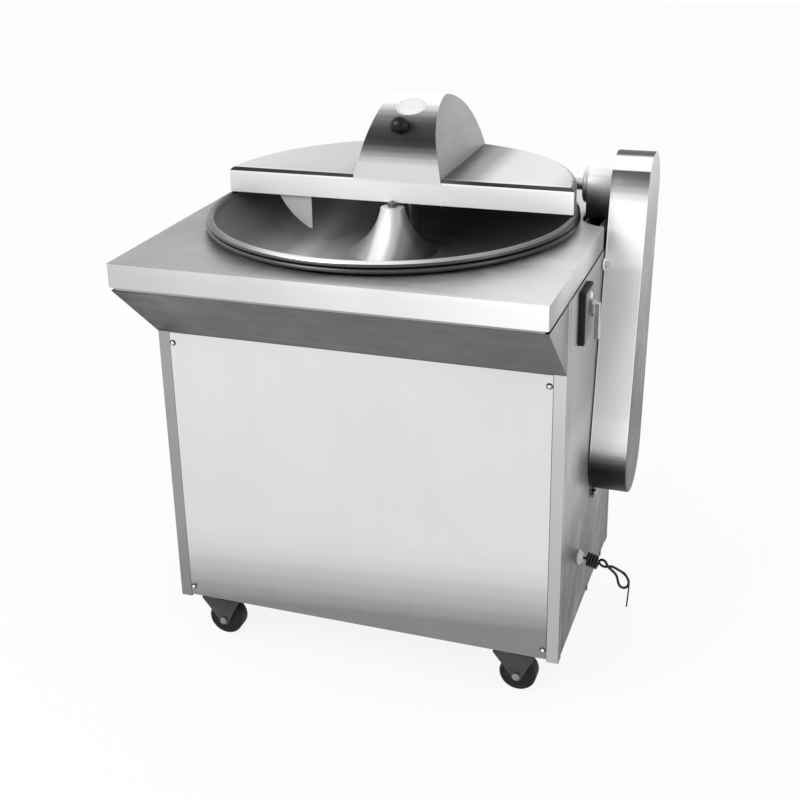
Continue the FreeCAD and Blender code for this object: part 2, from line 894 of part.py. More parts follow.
def motor_rails():
    """Two cross rails under the motor plate and the two side rails that carry them."""
    body = new_body("motor_rails")
    side = d["motor_rail_side"]
    high = motor_plate_top - d["plate_thickness"]
    low = high - side
    wall = d["rail_wall"]
    post = d["post_side"]
    reach = inner_side - side
    spread = d["motor_foot_width"] / 2 - d["motor_foot_thickness"]
    for inset, name, base in ((as_size(0), "rails", low), (wall, "channels", low + wall)):
        outlines = [rectangle(x + inset, x + side - inset, front + post, rear - post)
                    for x in (-inner_side, inner_side - side)]
        for middle in (motor_back - spread, motor_back + spread):
            outlines.append(rectangle(-reach, reach, middle - side / 2 + inset, middle + side / 2 - inset))
        if name == "rails":
            extrude(body, name, "z", base, high, outlines)
        else:
            pocket(body, name, "z", base, high, outlines)
    place(body)
    return body


def motor_shaft():
    body = new_body("motor_shaft")
    radius = d["motor_shaft_radius"]
    low = inner_side - d["motor_end_gap"] - d["motor_shaft_depth"] + 1
    high = pulley_start + d["pulley_width"]
    revolve(body, "shaft", loop([(low, 0), (low, radius), (high, radius), (high, 0)]), axis="X")
    place(body, y=motor_back, z=motor_level)
    return body


# Knife shaft in its bearing housing

def bearing_housing():
    """Round-topped housing that stands in the table's notch, on the frame under it."""
    body = new_body("bearing_housing")
    start, end = housing_start, guard_back
    radius = housing_radius
    stand = d["shaft_rise"] + d["table_sheet"]
    extrude(body, "block", "x", start, end, [loop([
        (-radius, -stand), (radius, -stand), (radius, 0, radius), (0, radius, radius), (-radius, 0),
    ])])
    pocket(body, "bore", "x", start, end, [circle(0, 0, d["bearing_outer"])])
    place(body, y=d["shaft_back"], z=shaft_level)
    return body


def housing_cap():
    """Seal carrier that closes the housing on the bowl side."""
    body = new_body("housing_cap")
    gap = d["running_gap"]
    seat = d["cap_seat"]
    revolve(body, "cap", loop([
        (cap_start, d["journal_radius"] + gap), (cap_start, d["cap_radius"] - seat),
        (cap_start + seat, d["cap_radius"]), (housing_start, d["cap_radius"]),
        (housing_start, d["bearing_outer"]), (housing_start + seat, d["bearing_outer"]),
        (housing_start + seat, d["journal_radius"] + gap),
    ]), axis="X")
    place(body, y=d["shaft_back"], z=shaft_level)
    return body


def knife_stack_end():
    return -d["knife_start"] + 2 * d["knife_pitch"] + d["knife_thickness"]


def knife_shaft():
    body = new_body("knife_shaft")
    thin, thick = d["shaft_radius"], d["journal_radius"]
    shoulder = knife_stack_end() + d["knife_pitch"] - d["knife_thickness"]
    collar = shoulder + d["collar_width"]
    left = -d["shaft_left"]
    right = pulley_start + d["pulley_width"]
    step = cap_start - d["cap_seat"]
    revolve(body, "shaft", loop([
        (left, 0), (left, thin), (shoulder, thin), (shoulder, d["spacer_radius"]),
        (collar, d["spacer_radius"]), (collar, thin), (step, thin),
        (step, thick), (right, thick), (right, 0),
    ]), axis="X")
    place(body, y=d["shaft_back"], z=shaft_level)
    return body


def knife_blade(number):
    """A sickle blade: one disc bitten by another, on a clamped hub ring."""
    body = new_body(f"knife_blade_{number + 1}")
    reach = knife_radius
    disc = reach * 0.68
    low = number * d["knife_pitch"] - d["knife_start"]
    high = low + d["knife_thickness"]
    extrude(body, "disc", "x", low, high, [circle(0, reach - disc, disc)])
    dress(body, "Chamfer", "cutting_bevel", d["knife_thickness"] * 0.6,
          lambda edge: near(edge.BoundBox.Center.x, high))
    pocket(body, "bite", "x", low, high, [circle(-reach * 0.44, reach * 0.3, reach * 0.62)])
    extrude(body, "hub", "x", low, high, [circle(0, 0, d["knife_hub_radius"])])
    pocket(body, "bore", "x", low, high, [circle(0, 0, d["shaft_radius"] + d["running_gap"])])
    place(body, y=d["shaft_back"], z=shaft_level, axis=(1, 0, 0), angle=120 * number + 30)
    return body


def knife_spacers():
    body = new_body("knife_spacers")
    bore = circle(0, 0, d["shaft_radius"] + d["running_gap"])
    rim = circle(0, 0, d["spacer_radius"])
    for number in range(3):
        low = number * d["knife_pitch"] - d["knife_start"] + d["knife_thickness"]
        high = low + d["knife_pitch"] - d["knife_thickness"]
        extrude(body, f"spacer_{number + 1}", "x", low, high, [rim, bore])
    place(body, y=d["shaft_back"], z=shaft_level)
    return body


def knife_nut():
    body = new_body("knife_nut")
    high = -d["knife_start"]
    low = high - d["knife_nut_width"]
    radius = d["knife_nut_radius"]
    half = radius / 2
    flat = radius * root(as_size(3)) / 2
    hexagon = loop([(radius, 0), (half, flat), (-half, flat), (-radius, 0), (-half, -flat), (half, -flat)])
    extrude(body, "nut", "x", low, high, [hexagon])
    pocket(body, "bore", "x", low, high, [circle(0, 0, d["shaft_radius"] + d["running_gap"])])
    place(body, y=d["shaft_back"], z=shaft_level)
    return body


# Belt drive in its guard

GROOVE_SLOPE = 0.32


def grooved_pulley(label, radius, bore, y, z):
    """A pulley with two V grooves, turned about X."""
    body = new_body(label)
    start = pulley_start
    end = start + d["pulley_width"]
    middle = (start + end) / 2
    half_top = d["belt_top_width"] / 2 + d["belt_gap"] + 0.3
    depth = d["belt_height"] + d["belt_gap"] + 1
    half_low = half_top - depth * GROOVE_SLOPE
    profile = [(start, bore), (start, radius)]
    for side in (-1, 1):
        groove = middle + side * d["belt_pitch"] / 2
        profile += [(groove - half_top, radius), (groove - half_low, radius - depth),
                    (groove + half_low, radius - depth), (groove + half_top, radius)]
    profile += [(end, radius), (end, bore)]
    revolve(body, "pulley", loop(profile), axis="X")
    place(body, y=y, z=z)
    return body


def drive_belts():
    """Two V belts round both pulleys, each swept along two arcs and the two lines that touch them."""
    small = d["knife_pulley_radius"].value - d["belt_height"].value
    large = d["motor_pulley_radius"].value - d["belt_height"].value
    span = d["belt_span"].value
    lean = (small - large) / span
    reach = math.sqrt(1 - lean * lean)
    middle = pulley_start.value + d["pulley_width"].value / 2
    belts = []
    for side in (-1, 1):
        x = middle + side * d["belt_pitch"].value / 2

        def point(radius, centre, across, up):
            return FreeCAD.Vector(x, across * radius, centre + up * radius)

        path = Part.Wire([
            Part.Arc(point(small, 0, -reach, -lean), point(small, 0, 0, 1),
                     point(small, 0, reach, -lean)).toShape(),
            Part.makeLine(point(small, 0, reach, -lean), point(large, -span, reach, -lean)),
            Part.Arc(point(large, -span, reach, -lean), point(large, -span, 0, -1),
                     point(large, -span, -reach, -lean)).toShape(),
            Part.makeLine(point(large, -span, -reach, -lean), point(small, 0, -reach, -lean)),
        ])
        start = point(small, 0, reach, -lean)
        outward = FreeCAD.Vector(0, reach, -lean)
        half_top = d["belt_top_width"].value / 2
        half_low = half_top - d["belt_height"].value * GROOVE_SLOPE
        high = outward * d["belt_height"].value
        across = FreeCAD.Vector(1, 0, 0)
        section = Part.makePolygon([
            start - across * half_low, start + across * half_low,
            start + high + across * half_top, start + high - across * half_top,
            start - across * half_low,
        ])
        belts.append(path.makePipeShell([section], True, False))
    feature = document.addObject("Part::Feature", "drive_belts")
    feature.Label = "drive_belts"
    feature.Shape = Part.makeCompound(belts)
    place(feature, y=d["shaft_back"], z=shaft_level, axis=(1, 0, 0), angle=-d["belt_tilt"])
    return feature


def guard_outline(inset=0):
    return drop_shape(d["guard_top_radius"] - inset, d["belt_span"], d["guard_bottom_radius"] - inset)


def guard_ears():
    """Centres of the back plate's ears: one in front of the guard, high up, and one under its round end."""
    span = d["belt_span"]
    grown = d["guard_bottom_radius"] - d["guard_top_radius"]
    edge = d["guard_top_radius"] + grown * d["ear_drop"] / span
    front_ear = (-edge - d["ear_radius"] + d["ear_bite"], -d["ear_drop"])
    low_ear = (-d["ear_front"], -span - d["ear_low"])
    return front_ear, low_ear


def guard_back_plate():
    """Back plate with two round ears that screw to the cabinet, and holes for the shafts."""
    body = new_body("guard_back_plate")
    low, high = guard_back, guard_back + d["guard_sheet"]
    extrude(body, "plate", "x", low, high, [guard_outline()])
    for number, (y, z) in enumerate(guard_ears()):
        extrude(body, f"ear_{number}", "x", low, high, [circle(y, z, d["ear_radius"])])
    pocket(body, "shaft_hole", "x", low, high, [circle(0, 0, d["journal_radius"] + d["shaft_hole_gap"])])
    pocket(body, "motor_hole", "x", low, high, [circle(0, -d["belt_span"], d["motor_shaft_radius"] * 1.5)])
    place(body, y=d["shaft_back"], z=shaft_level, axis=(1, 0, 0), angle=-d["belt_tilt"])
    return body


def guard_screws():
    """Ear screws with the spacers that hold the back plate off the cabinet."""
    body = new_body("guard_screws")
    low = guard_back + d["guard_sheet"]
    heads = [circle(y, z, d["screw_radius"]) for y, z in guard_ears()]
    extrude(body, "heads", "x", low, low + d["screw_height"] * 1.5, heads)
    extrude(body, "spacers", "x", half_cabinet, guard_back, heads)
    place(body, y=d["shaft_back"], z=shaft_level, axis=(1, 0, 0), angle=-d["belt_tilt"])
    return body


def belt_guard():
    body = new_body("belt_guard")
    sheet_in = d["guard_sheet"]
    low = guard_back + sheet_in
    extrude(body, "tray", "x", low, guard_face, [guard_outline()])
    dress(body, "Fillet", "outer_bend", d["guard_bend"],
          lambda edge: near(edge.BoundBox.Center.x, guard_face))
    pocket(body, "hollow", "x", low, guard_face - sheet_in, [guard_outline(sheet_in)])
    place(body, y=d["shaft_back"], z=shaft_level, axis=(1, 0, 0), angle=-d["belt_tilt"])
    return body


# Hood over the back half of the bowl

def arch_profile(wall):
    """Side view of the hood's arch, moved inwards by the wall: a face that leans forward, a rounded brow
    and a long back slope."""
    nose = d["arch_nose"] - wall
    level = d["arch_top"] - d["arch_nose"]
    face_y = d["cover_front"] + wall
    face_z = d["cover_top"] - d["cover_bend"]
    across, up = brow_back - face_y, level - face_z
    distance = across * across + up * up
    reach = root(distance - nose * nose)
    brow_y = face_y + reach * (across * reach - up * nose) / distance
    brow_z = face_z + reach * (up * reach + across * nose) / distance
    turn_y, turn_z = cosine(d["arch_angle"]), sine(d["arch_angle"])
    run = cover_radius - d["arch_rear"] - brow_back
    fall = d["cover_top"] - level
    shift = (run * run + fall * fall - d["arch_nose"] * d["arch_nose"]) / (
        2 * (run * turn_y + fall * turn_z - d["arch_nose"]))
    back = d["arch_nose"] - shift - wall
    centre_y = brow_back + shift * turn_y
    centre_z = level + shift * turn_z
    base = d["skirt_base"]
    end_rise = d["cover_top"] - wall - centre_z
    end = centre_y + root(back * back - end_rise * end_rise)
    return loop([
        (face_y, base),
        (end, base),
        (end, d["cover_top"] - wall, back),
        (brow_back + nose * turn_y, level + nose * turn_z, nose),
        (brow_back, level + nose, nose),
        (brow_y, brow_z),
        (face_y, face_z),
    ])


def hood_solid(label, wall):
    """The hood as a solid, moved inwards by the wall on every side but the open bottom."""
    body = new_body(label)
    radius = cover_radius - wall
    near_y = d["cover_front"] + wall
    across = root(radius * radius - near_y * near_y)
    half_disc = loop([(-across, near_y), (across, near_y, radius), (0, radius, radius)])
    extrude(body, "half_disc", "z", d["skirt_base"], d["cover_top"] - wall, [half_disc])
    bend = d["cover_bend"] - wall
    dress(body, "Fillet", "bend", bend,
          lambda edge: near(edge.BoundBox.ZMin, d["cover_top"] - wall) and near(edge.BoundBox.ZLength, 0))
    extrude(body, "arch", "x", -d["arch_left"] + wall, d["arch_right"] - wall, [arch_profile(wall)])
    wall_base = d["cover_top"] - wall
    rise = d["arch_top"] - d["cover_top"]
    foot = -d["arch_left"] + wall
    crest = foot + d["arch_lean"] * (d["arch_top"] - wall_base) / rise
    outside = foot - d["arch_lean"]
    pocket(body, "left_slope", "y", d["cover_front"] - d["arch_bulge"], cover_radius, [loop([
        (foot, wall_base), (crest, d["arch_top"]), (outside, d["arch_top"]), (outside, wall_base),
    ])])
    place(body, z=top)
    return body


def bowl_cover():
    skin = hood_solid("hood_skin", as_size(0))
    hollow = hood_solid("hood_hollow", d["cover_wall"])
    slot = document.addObject("Part::Box", "shaft_slot")
    half_slot = d["shaft_radius"] + d["slot_gap"]
    bind(slot, "Length", cover_radius - d["slot_start"])
    bind(slot, "Width", half_slot * 2)
    bind(slot, "Height", d["shaft_rise"] + half_slot)
    bind(slot, "Placement.Base.x", bowl_axis + d["slot_start"])
    bind(slot, "Placement.Base.y", d["shaft_back"] - half_slot)
    bind(slot, "Placement.Base.z", top)
    tools = document.addObject("Part::MultiFuse", "hood_tools")
    tools.Shapes = [hollow, slot]
    cover = document.addObject("Part::Cut", "bowl_cover")
    cover.Label = "bowl_cover"
    cover.Base = skin
    cover.Tool = tools
    document.recompute()
    return cover


def hinge_brackets():
    """Two brackets on the table behind the hood, each with two ears and its pin."""
    body = new_body("hinge_brackets")
    half_leaf = d["hinge_leaf_width"] / 2
    gap = d["hinge_side_gap"]
    eye = d["hinge_eye_radius"] + d["hinge_edge"]
    rise, back = d["hinge_rise"], hinge_back
    half_base = half_leaf + gap + d["hinge_ear"]
    outline = loop([
        (back - eye, 0), (back + eye, 0), (back + eye, rise, eye), (back, rise + eye, eye),
        (back - eye, rise),
    ])
    for name, side in (("left", -1), ("right", 1)):
        middle = d["hinge_spread"] * side
        extrude(body, name + "_foot", "z", 0, d["hinge_foot"],
                [rectangle(middle - half_base, middle + half_base, back - eye, back + eye)])
        for part, start, end in (("inner", middle - half_base, middle - half_leaf - gap),
                                 ("outer", middle + half_leaf + gap, middle + half_base)):
            extrude(body, f"{name}_{part}_ear", "x", start, end, [outline])
        reach = half_base + d["pin_head"]
        extrude(body, name + "_pin", "x", middle - reach, middle + reach,
                [circle(back, rise, d["hinge_pin_radius"])])
    place(body, z=top)
    return body


def hinge_leaves():
    """Arms from the hood's back wall to the hinge pins."""
    body = new_body("hinge_leaves")
    half = d["hinge_leaf_width"] / 2
    rise, back = d["hinge_rise"], hinge_back
    eye = d["hinge_eye_radius"]
    wall_back = cover_radius
    low = rise - eye
    high = rise + eye
    inner = wall_back - d["leaf_root"]
    for name, side in (("left", -1), ("right", 1)):
        middle = d["hinge_spread"] * side
        extrude(body, name, "x", middle - half, middle + half,
                [loop([(inner, low), (back, low, eye), (back + eye, rise, eye), (back, high),
                       (inner, high)])])
    pocket(body, "wall_seat", "z", low - 1, high + 1, [circle(0, 0, wall_back)])
    pocket(body, "pin_bore", "x", -d["hinge_spread"] - half, d["hinge_spread"] + half,
           [circle(back, rise, d["hinge_pin_radius"] + d["running_gap"])])
    place(body, z=top)
    return body


def cover_knob():
    """Ball knob on a short collar, standing square to the brow of the arch."""
    body = new_body("cover_knob")
    ball = d["ball_radius"]
    reach = d["ball_reach"]
    neck = ball * 0.45
    face = reach + ball * 0.9
    face_radius = ball * 0.436
    meet = reach - root(ball * ball - neck * neck)
    revolve(body, "ball", loop([
        (0, 0.2), (neck, 0.2), (neck, meet, ball), (ball, reach, ball), (face_radius, face), (0, face),
    ]))
    brow = d["arch_nose"]
    turn = d["ball_angle"]
    y = brow_back - brow * cosine(turn)
    z = top + d["arch_top"] - brow + brow * sine(turn)
    place(body, x=d["ball_side"], y=y, z=z, axis=(1, 0, 0), angle=90 - turn)
    return body


def scraper_plate():
    """Plate that hangs from the hood into the trough, with a flange under the hood's top."""
    body = new_body("scraper_plate")
    thick = d["scraper_thickness"]
    near_y = d["cover_front"] + d["cover_bend"]
    high = d["cover_top"] - d["cover_wall"]
    left, right = -d["scraper_left"], -d["scraper_right"]
    tip = -d["scraper_depth"]
    extrude(body, "blade", "y", near_y, near_y + thick, [loop([
        (left, high), (left, d["skirt_base"], d["scraper_curve"]), (right - d["scraper_tip"], tip),
        (right, tip), (right, high),
    ])])
    extrude(body, "flange", "z", high - thick, high,
            [rectangle(left, right, near_y, near_y + d["scraper_flange"])])
    place(body, z=top)
    return body


# Controls and mains inlet

def switch_bounds():
    near_y = -d["switch_front"]
    high = top - d["switch_top"]
    return near_y, near_y + d["switch_width"], high - d["switch_tall"], high


def button_place():
    near_y, far_y, low, high = switch_bounds()
    return near_y + d["switch_width"] * 0.5, high - d["button_radius"] * 2.2


def selector_place():
    near_y, far_y, low, high = switch_bounds()
    return near_y + d["switch_width"] * 0.5, high - d["button_radius"] * 3.4 - d["selector_radius"]


def switch_box():
    body = new_body("switch_box")
    near_y, far_y, low, high = switch_bounds()
    face = half_cabinet + d["switch_depth"]
    extrude(body, "case", "x", half_cabinet, face, [rectangle(near_y, far_y, low, high)])
    dress(body, "Fillet", "corners", d["face_inset"],
          lambda edge: near(edge.BoundBox.XLength, d["switch_depth"]))
    y, z = button_place()
    pocket(body, "button_well", "x", face - d["button_travel"] * 2.5, face,
           [circle(y, z, d["button_radius"] + d["selector_gap"])])
    place(body)
    return body


def switch_faceplate():
    body = new_body("switch_faceplate")
    near_y, far_y, low, high = switch_bounds()
    face = half_cabinet + d["switch_depth"]
    y, z = button_place()
    turn_y, turn_z = selector_place()
    edge = d["face_inset"]
    outside = face + d["face_thickness"]
    extrude(body, "plate", "x", face, outside, [
        rectangle(near_y + edge, far_y - edge, low + edge, high - edge),
        circle(y, z, d["button_radius"] + d["selector_gap"]),
    ])
    extrude(body, "bush", "x", outside, outside + d["bush_height"],
            [circle(turn_y, turn_z, d["selector_radius"] * 0.8)])
    place(body)
    return body


def start_button():
    body = new_body("start_button")
    y, z = button_place()
    face = half_cabinet + d["switch_depth"]
    low = face - d["button_travel"]
    high = face + d["face_thickness"] + d["button_travel"]
    radius = d["button_radius"]
    edge = radius / 6
    revolve(body, "cap", loop([
        (low, 0), (low, radius), (high - edge, radius), (high, radius - edge), (high, 0),
    ]), axis="X")
    place(body, y=y, z=z)
    return body


def selector_knob():
    """Round selector with a bar handle that points down at rest."""
    body = new_body("selector_knob")
    radius = d["selector_radius"]
    face = half_cabinet + d["switch_depth"] + d["face_thickness"]
    low = face + d["bush_height"] + d["selector_gap"]
    middle = low + d["dial_height"]
    high = middle + d["bar_height"]
    extrude(body, "dial", "x", low, middle, [circle(0, 0, radius)])
    half = radius * 0.45
    extrude(body, "bar", "x", middle, high,
            [rectangle(-half, half, radius - d["selector_bar"], radius * 0.7)])
    dress(body, "Fillet", "soft_edges", d["bar_height"] / 5, lambda edge: near(edge.BoundBox.XMin, high))
    y, z = selector_place()
    place(body, y=y, z=z)
    return body


def cable_gland():
    body = new_body("cable_gland")
    radius = d["gland_radius"]
    cord = d["cord_radius"]
    reach = d["gland_reach"]
    inside = -d["panel_sheet"] - reach / 2
    revolve(body, "gland", loop([
        (inside, cord), (inside, radius * 0.55), (0, radius * 0.55), (0, radius), (reach * 0.4, radius),
        (reach * 0.5, radius * 0.8), (reach, radius * 0.6), (reach, cord),
    ]), axis="X")
    place(body, x=half_cabinet, y=-d["gland_front"], z=top - d["gland_drop"])
    return body


# Casters

def caster_places():
    left = d["caster_left_inset"] - half_cabinet
    right = half_cabinet - d["caster_right_inset"]
    near_y = front + d["caster_front_inset"]
    far_y = rear - d["caster_back_inset"]
    return {
        "front_left": (left, near_y), "front_right": (right, near_y),
        "rear_left": (left, far_y), "rear_right": (right, far_y),
    }


def caster_plates():
    body = new_body("caster_plates")
    half = d["caster_plate"] / 2
    low = d["panel_base"] - d["caster_plate_thickness"]
    pins = low - d["race_height"] - d["fork_sheet"] + 1
    for number, (x, y) in enumerate(caster_places().values()):
        extrude(body, f"plate_{number}", "z", low, d["panel_base"],
                [rectangle(x - half, x + half, y - half, y + half)])
        extrude(body, f"pin_{number}", "z", pins, low, [circle(x, y, d["caster_pin_radius"])])
    place(body)
    return body


def caster_fork(name, x, y):
    """Swivel race, crown and two cheeks with the wheel's axle, which trails to the right of the swivel."""
    body = new_body("caster_fork_" + name)
    race = d["race_radius"]
    sheet_in = d["fork_sheet"]
    high = d["panel_base"] - d["caster_plate_thickness"] - d["swivel_gap"]
    crown = high - d["race_height"]
    half = d["wheel_width"] / 2 + d["fork_gap"]
    trail = d["wheel_trail"]
    axle = d["wheel_radius"]
    foot = d["axle_radius"] + d["cheek_edge"]
    right = trail + d["wheel_radius"] * 0.95
    cheek = loop([
        (trail, axle - foot, foot), (trail + foot, axle), (right, crown - sheet_in), (right, crown),
        (-race, crown), (-race, crown - sheet_in), (trail - foot, axle, foot),
    ])
    extrude(body, "race", "z", crown, high, [circle(0, 0, race)])
    outside = half + sheet_in
    extrude(body, "crown", "z", crown - sheet_in, crown, [rectangle(-race, right, -outside, outside)])
    for side, low_y in (("front", -outside), ("rear", half)):
        extrude(body, side + "_cheek", "y", low_y, low_y + sheet_in, [cheek])
    reach = outside + d["axle_head"]
    extrude(body, "axle", "y", -reach, reach, [circle(trail, axle, d["axle_radius"])])
    pocket(body, "pin_bore", "z", crown - sheet_in, high,
           [circle(0, 0, d["caster_pin_radius"] + d["running_gap"])])
    place(body, x=x, y=y)
    return body


def caster_wheel(name, x, y):
    body = new_body("caster_wheel_" + name)
    radius = d["wheel_radius"]
    half = d["wheel_width"] / 2
    bore = d["axle_radius"] + d["running_gap"]
    tread = radius * 0.86
    hub = radius * 0.3
    dish = half * 0.8
    shoulder = half * 0.75
    revolve(body, "wheel", loop([
        (bore, -half), (hub, -half), (hub * 1.1, -dish), (tread * 0.9, -dish), (tread, -half),
        (radius, -shoulder), (radius, shoulder), (tread, half), (tread * 0.9, dish), (hub * 1.1, dish),
        (hub, half), (bore, half),
    ]))
    place(body, x=x + d["wheel_trail"], y=y, z=d["wheel_radius"], axis=(1, 0, 0), angle=90)
    return body


# Mains cord: a short lead out of the gland, the tied hank and its hanging end

# Route of the tie's hanging end, counted from the gland's mouth
TAIL_POINTS = [(67.3, 0, -15.1), (74.5, 0, -17), (79.5, -2, -31), (79, -2, -47), (76, -1, -79)]


def rounded_path(points):
    """Straight runs with an arc at each bend, as large as the two runs allow."""
    pieces = []
    radii = []
    start = points[0]
    for before, corner, after in zip(points, points[1:], points[2:]):
        back_run, next_run = before - corner, after - corner
        turn = math.pi - back_run.getAngle(next_run)
        shorter = min(back_run.Length, next_run.Length)
        radius = 0.45 * shorter / math.tan(turn / 2)
        cut = 0.45 * shorter
        back_run.normalize()
        next_run.normalize()
        first, last = corner + back_run * cut, corner + next_run * cut
        bisector = (back_run + next_run).normalize()
        centre = corner + bisector * (radius / math.cos(turn / 2))
        pieces.append(Part.makeLine(start, first))
        pieces.append(Part.Arc(first, centre - bisector * radius, last).toShape())
        start = last
        radii.append(radius)
    pieces.append(Part.makeLine(start, points[-1]))
    return Part.Wire(pieces), radii


def cord_tube(label, points, radius):
    path, radii = rounded_path([FreeCAD.Vector(*point) for point in points])
    start = FreeCAD.Vector(*points[0])
    heading = FreeCAD.Vector(*points[1]) - start
    section = Part.Wire(Part.makeCircle(radius, start, heading))
    tube = path.makePipeShell([section], True, False)
    expected = math.pi * radius ** 2 * path.Length
    print(label, "length", round(path.Length, 1), "radii", [round(value, 1) for value in radii],
          "volume ratio", round(tube.Volume / expected, 3))
    feature = document.addObject("Part::Feature", label)
    feature.Label = label
    feature.Shape = tube
    place(feature, x=half_cabinet + d["gland_reach"], y=-d["gland_front"], z=top - d["gland_drop"])
    return feature


def cord_lead():
    lead = document.addObject("Part::Cylinder", "cord_lead")
    lead.Label = "cord_lead"
    bind(lead, "Radius", d["cord_radius"])
    bind(lead, "Height", d["lead_length"])
    place(lead, x=half_cabinet + d["gland_reach"], y=-d["gland_front"], z=top - d["gland_drop"],
          axis=(0, 1, 0), angle=90)
    return lead


def cord_hank():
    """Closed outer shape of the tied bundle, thick by the gland and thin at its far end."""
    body = new_body("cord_hank")
    bulge = d["hank_radius"]
    length = d["hank_length"]
    slope = d["hank_slope"]
    revolve(body, "bundle", loop([
        (0, 0), (bulge * 0.6, 0), (bulge, length * 0.1), (bulge, length * 0.3),
        (bulge * 0.75, length * 0.45), (bulge * 0.7, length * 0.8), (bulge * 0.45, length), (0, length),
    ]))
    start = half_cabinet + d["gland_reach"] + d["lead_length"] + d["cord_radius"] * sine(slope)
    place(body, x=start, y=-d["gland_front"], z=top - d["gland_drop"], axis=(0, 1, 0), angle=90 + slope)
    return body


def cord_tail():
    return cord_tube("cord_tail", TAIL_POINTS, d["tie_radius"].value)


sub_parts = [
    table_top(), table_frame(), cornice_panels(), corner_posts(),
    rail_ring("base_rails", d["panel_base"], d["panel_base"] + d["rail_height"], d["rail_width"]),
    rail_ring("top_rails", top_rail - d["rail_height"], top_rail, d["rail_width"]),
    *cabinet_panels(), panel_screws(),
    bowl(), bowl_spindle(), bowl_nut(),
    spindle_plate(), spindle_housing(), ball_bearings(), gearbox(), bowl_motor(),
    knife_motor(), motor_base_plate(), motor_rails(), motor_shaft(),
    bearing_housing(), housing_cap(), knife_shaft(),
    *[knife_blade(number) for number in range(3)],
    knife_spacers(), knife_nut(),
    grooved_pulley("knife_pulley", d["knife_pulley_radius"], d["journal_radius"] + d["running_gap"],
                   d["shaft_back"], shaft_level),
    grooved_pulley("motor_pulley", d["motor_pulley_radius"], d["motor_shaft_radius"] + d["running_gap"],
                   motor_back, motor_level),
    drive_belts(), guard_back_plate(), guard_screws(), belt_guard(),
    bowl_cover(), hinge_brackets(), hinge_leaves(), cover_knob(), scraper_plate(),
    switch_box(), switch_faceplate(), start_button(), selector_knob(), cable_gland(),
    caster_plates(),
    *[caster_fork(name, x, y) for name, (x, y) in caster_places().items()],
    *[caster_wheel(name, x, y) for name, (x, y) in caster_places().items()],
    cord_lead(), cord_hank(), cord_tail(),
]

document.recompute()
for thing in document.Objects:
    if "Invalid" in thing.State or "Error" in thing.State:
        raise RuntimeError(f"{thing.Label} failed: {thing.State}")
for thing in sub_parts:
    if thing.Shape.isNull() or not thing.Shape.isValid():
        raise RuntimeError(f"{thing.Label} has no valid shape")

os.makedirs("parts", exist_ok=True)
for thing in sub_parts:
    thing.Shape.exportStep(os.path.join("parts", thing.Label + ".step"))
print(len(sub_parts), "sub-parts written")
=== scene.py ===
# %% [markdown]
# # A bowl cutter in stainless steel
# The real machine chops meat: a wide trough bowl turns under a hood, where three curved knives spin on a
# shaft. The CAD model fixes every size and place. This script dresses it: each cell takes one piece or one
# finish, says what it is on the real machine, and builds it.

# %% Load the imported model
import json
import math

import bmesh
import bpy
from mathutils import Matrix, Vector


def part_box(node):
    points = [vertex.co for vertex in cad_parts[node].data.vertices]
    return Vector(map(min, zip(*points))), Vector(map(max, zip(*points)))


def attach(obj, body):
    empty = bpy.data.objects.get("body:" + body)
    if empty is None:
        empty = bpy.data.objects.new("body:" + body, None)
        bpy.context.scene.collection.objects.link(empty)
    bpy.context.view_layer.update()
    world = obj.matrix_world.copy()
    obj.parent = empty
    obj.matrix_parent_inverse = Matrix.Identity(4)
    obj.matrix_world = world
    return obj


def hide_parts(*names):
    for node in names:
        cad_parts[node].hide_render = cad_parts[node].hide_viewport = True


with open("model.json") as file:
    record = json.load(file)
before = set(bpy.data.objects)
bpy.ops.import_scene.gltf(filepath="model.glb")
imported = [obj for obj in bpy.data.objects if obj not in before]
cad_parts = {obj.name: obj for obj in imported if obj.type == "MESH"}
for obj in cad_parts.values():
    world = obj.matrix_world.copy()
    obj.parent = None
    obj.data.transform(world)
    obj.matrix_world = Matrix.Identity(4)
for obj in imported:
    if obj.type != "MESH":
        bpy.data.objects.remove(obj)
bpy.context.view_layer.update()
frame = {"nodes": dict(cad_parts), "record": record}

NODES = frame["nodes"]
BODY_OF = {node: body for body, nodes in frame["record"]["behaviour"]["bodies"].items() for node in nodes}

# %% [markdown]
# ## Where the parts are
# A few lines of the machine are used again and again: the bowl's upright axis, the table's top, the knife
# shaft's level and the faces of the cabinet. They are read from the CAD nodes, so a change there moves the
# pieces here too.

# %% Lines of the machine
TABLE_LOW, TABLE_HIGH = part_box("table_top")
TABLE = TABLE_HIGH.z
CABINET_LOW, CABINET_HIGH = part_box("corner_posts")
BOWL_LOW, BOWL_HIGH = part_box("bowl")
BOWL_X = (BOWL_LOW.x + BOWL_HIGH.x) / 2
SHAFT_LOW, SHAFT_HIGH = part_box("knife_shaft")
SHAFT_Y = (SHAFT_LOW.y + SHAFT_HIGH.y) / 2
SHAFT_Z = (SHAFT_LOW.z + SHAFT_HIGH.z) / 2
GUARD_LOW, GUARD_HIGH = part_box("belt_guard")
print(f"table {TABLE:.3f} bowl axis {BOWL_X:.3f} shaft y {SHAFT_Y:.3f} z {SHAFT_Z:.3f}")

# %% [markdown]
# ## Camera
# The photograph was taken from the front, a little from the right and above. The camera's place came from
# the table's four edges: it stands about two metres in front of the machine, and the picture is a crop whose
# centre isn't the lens's centre, which the lens shift repeats.

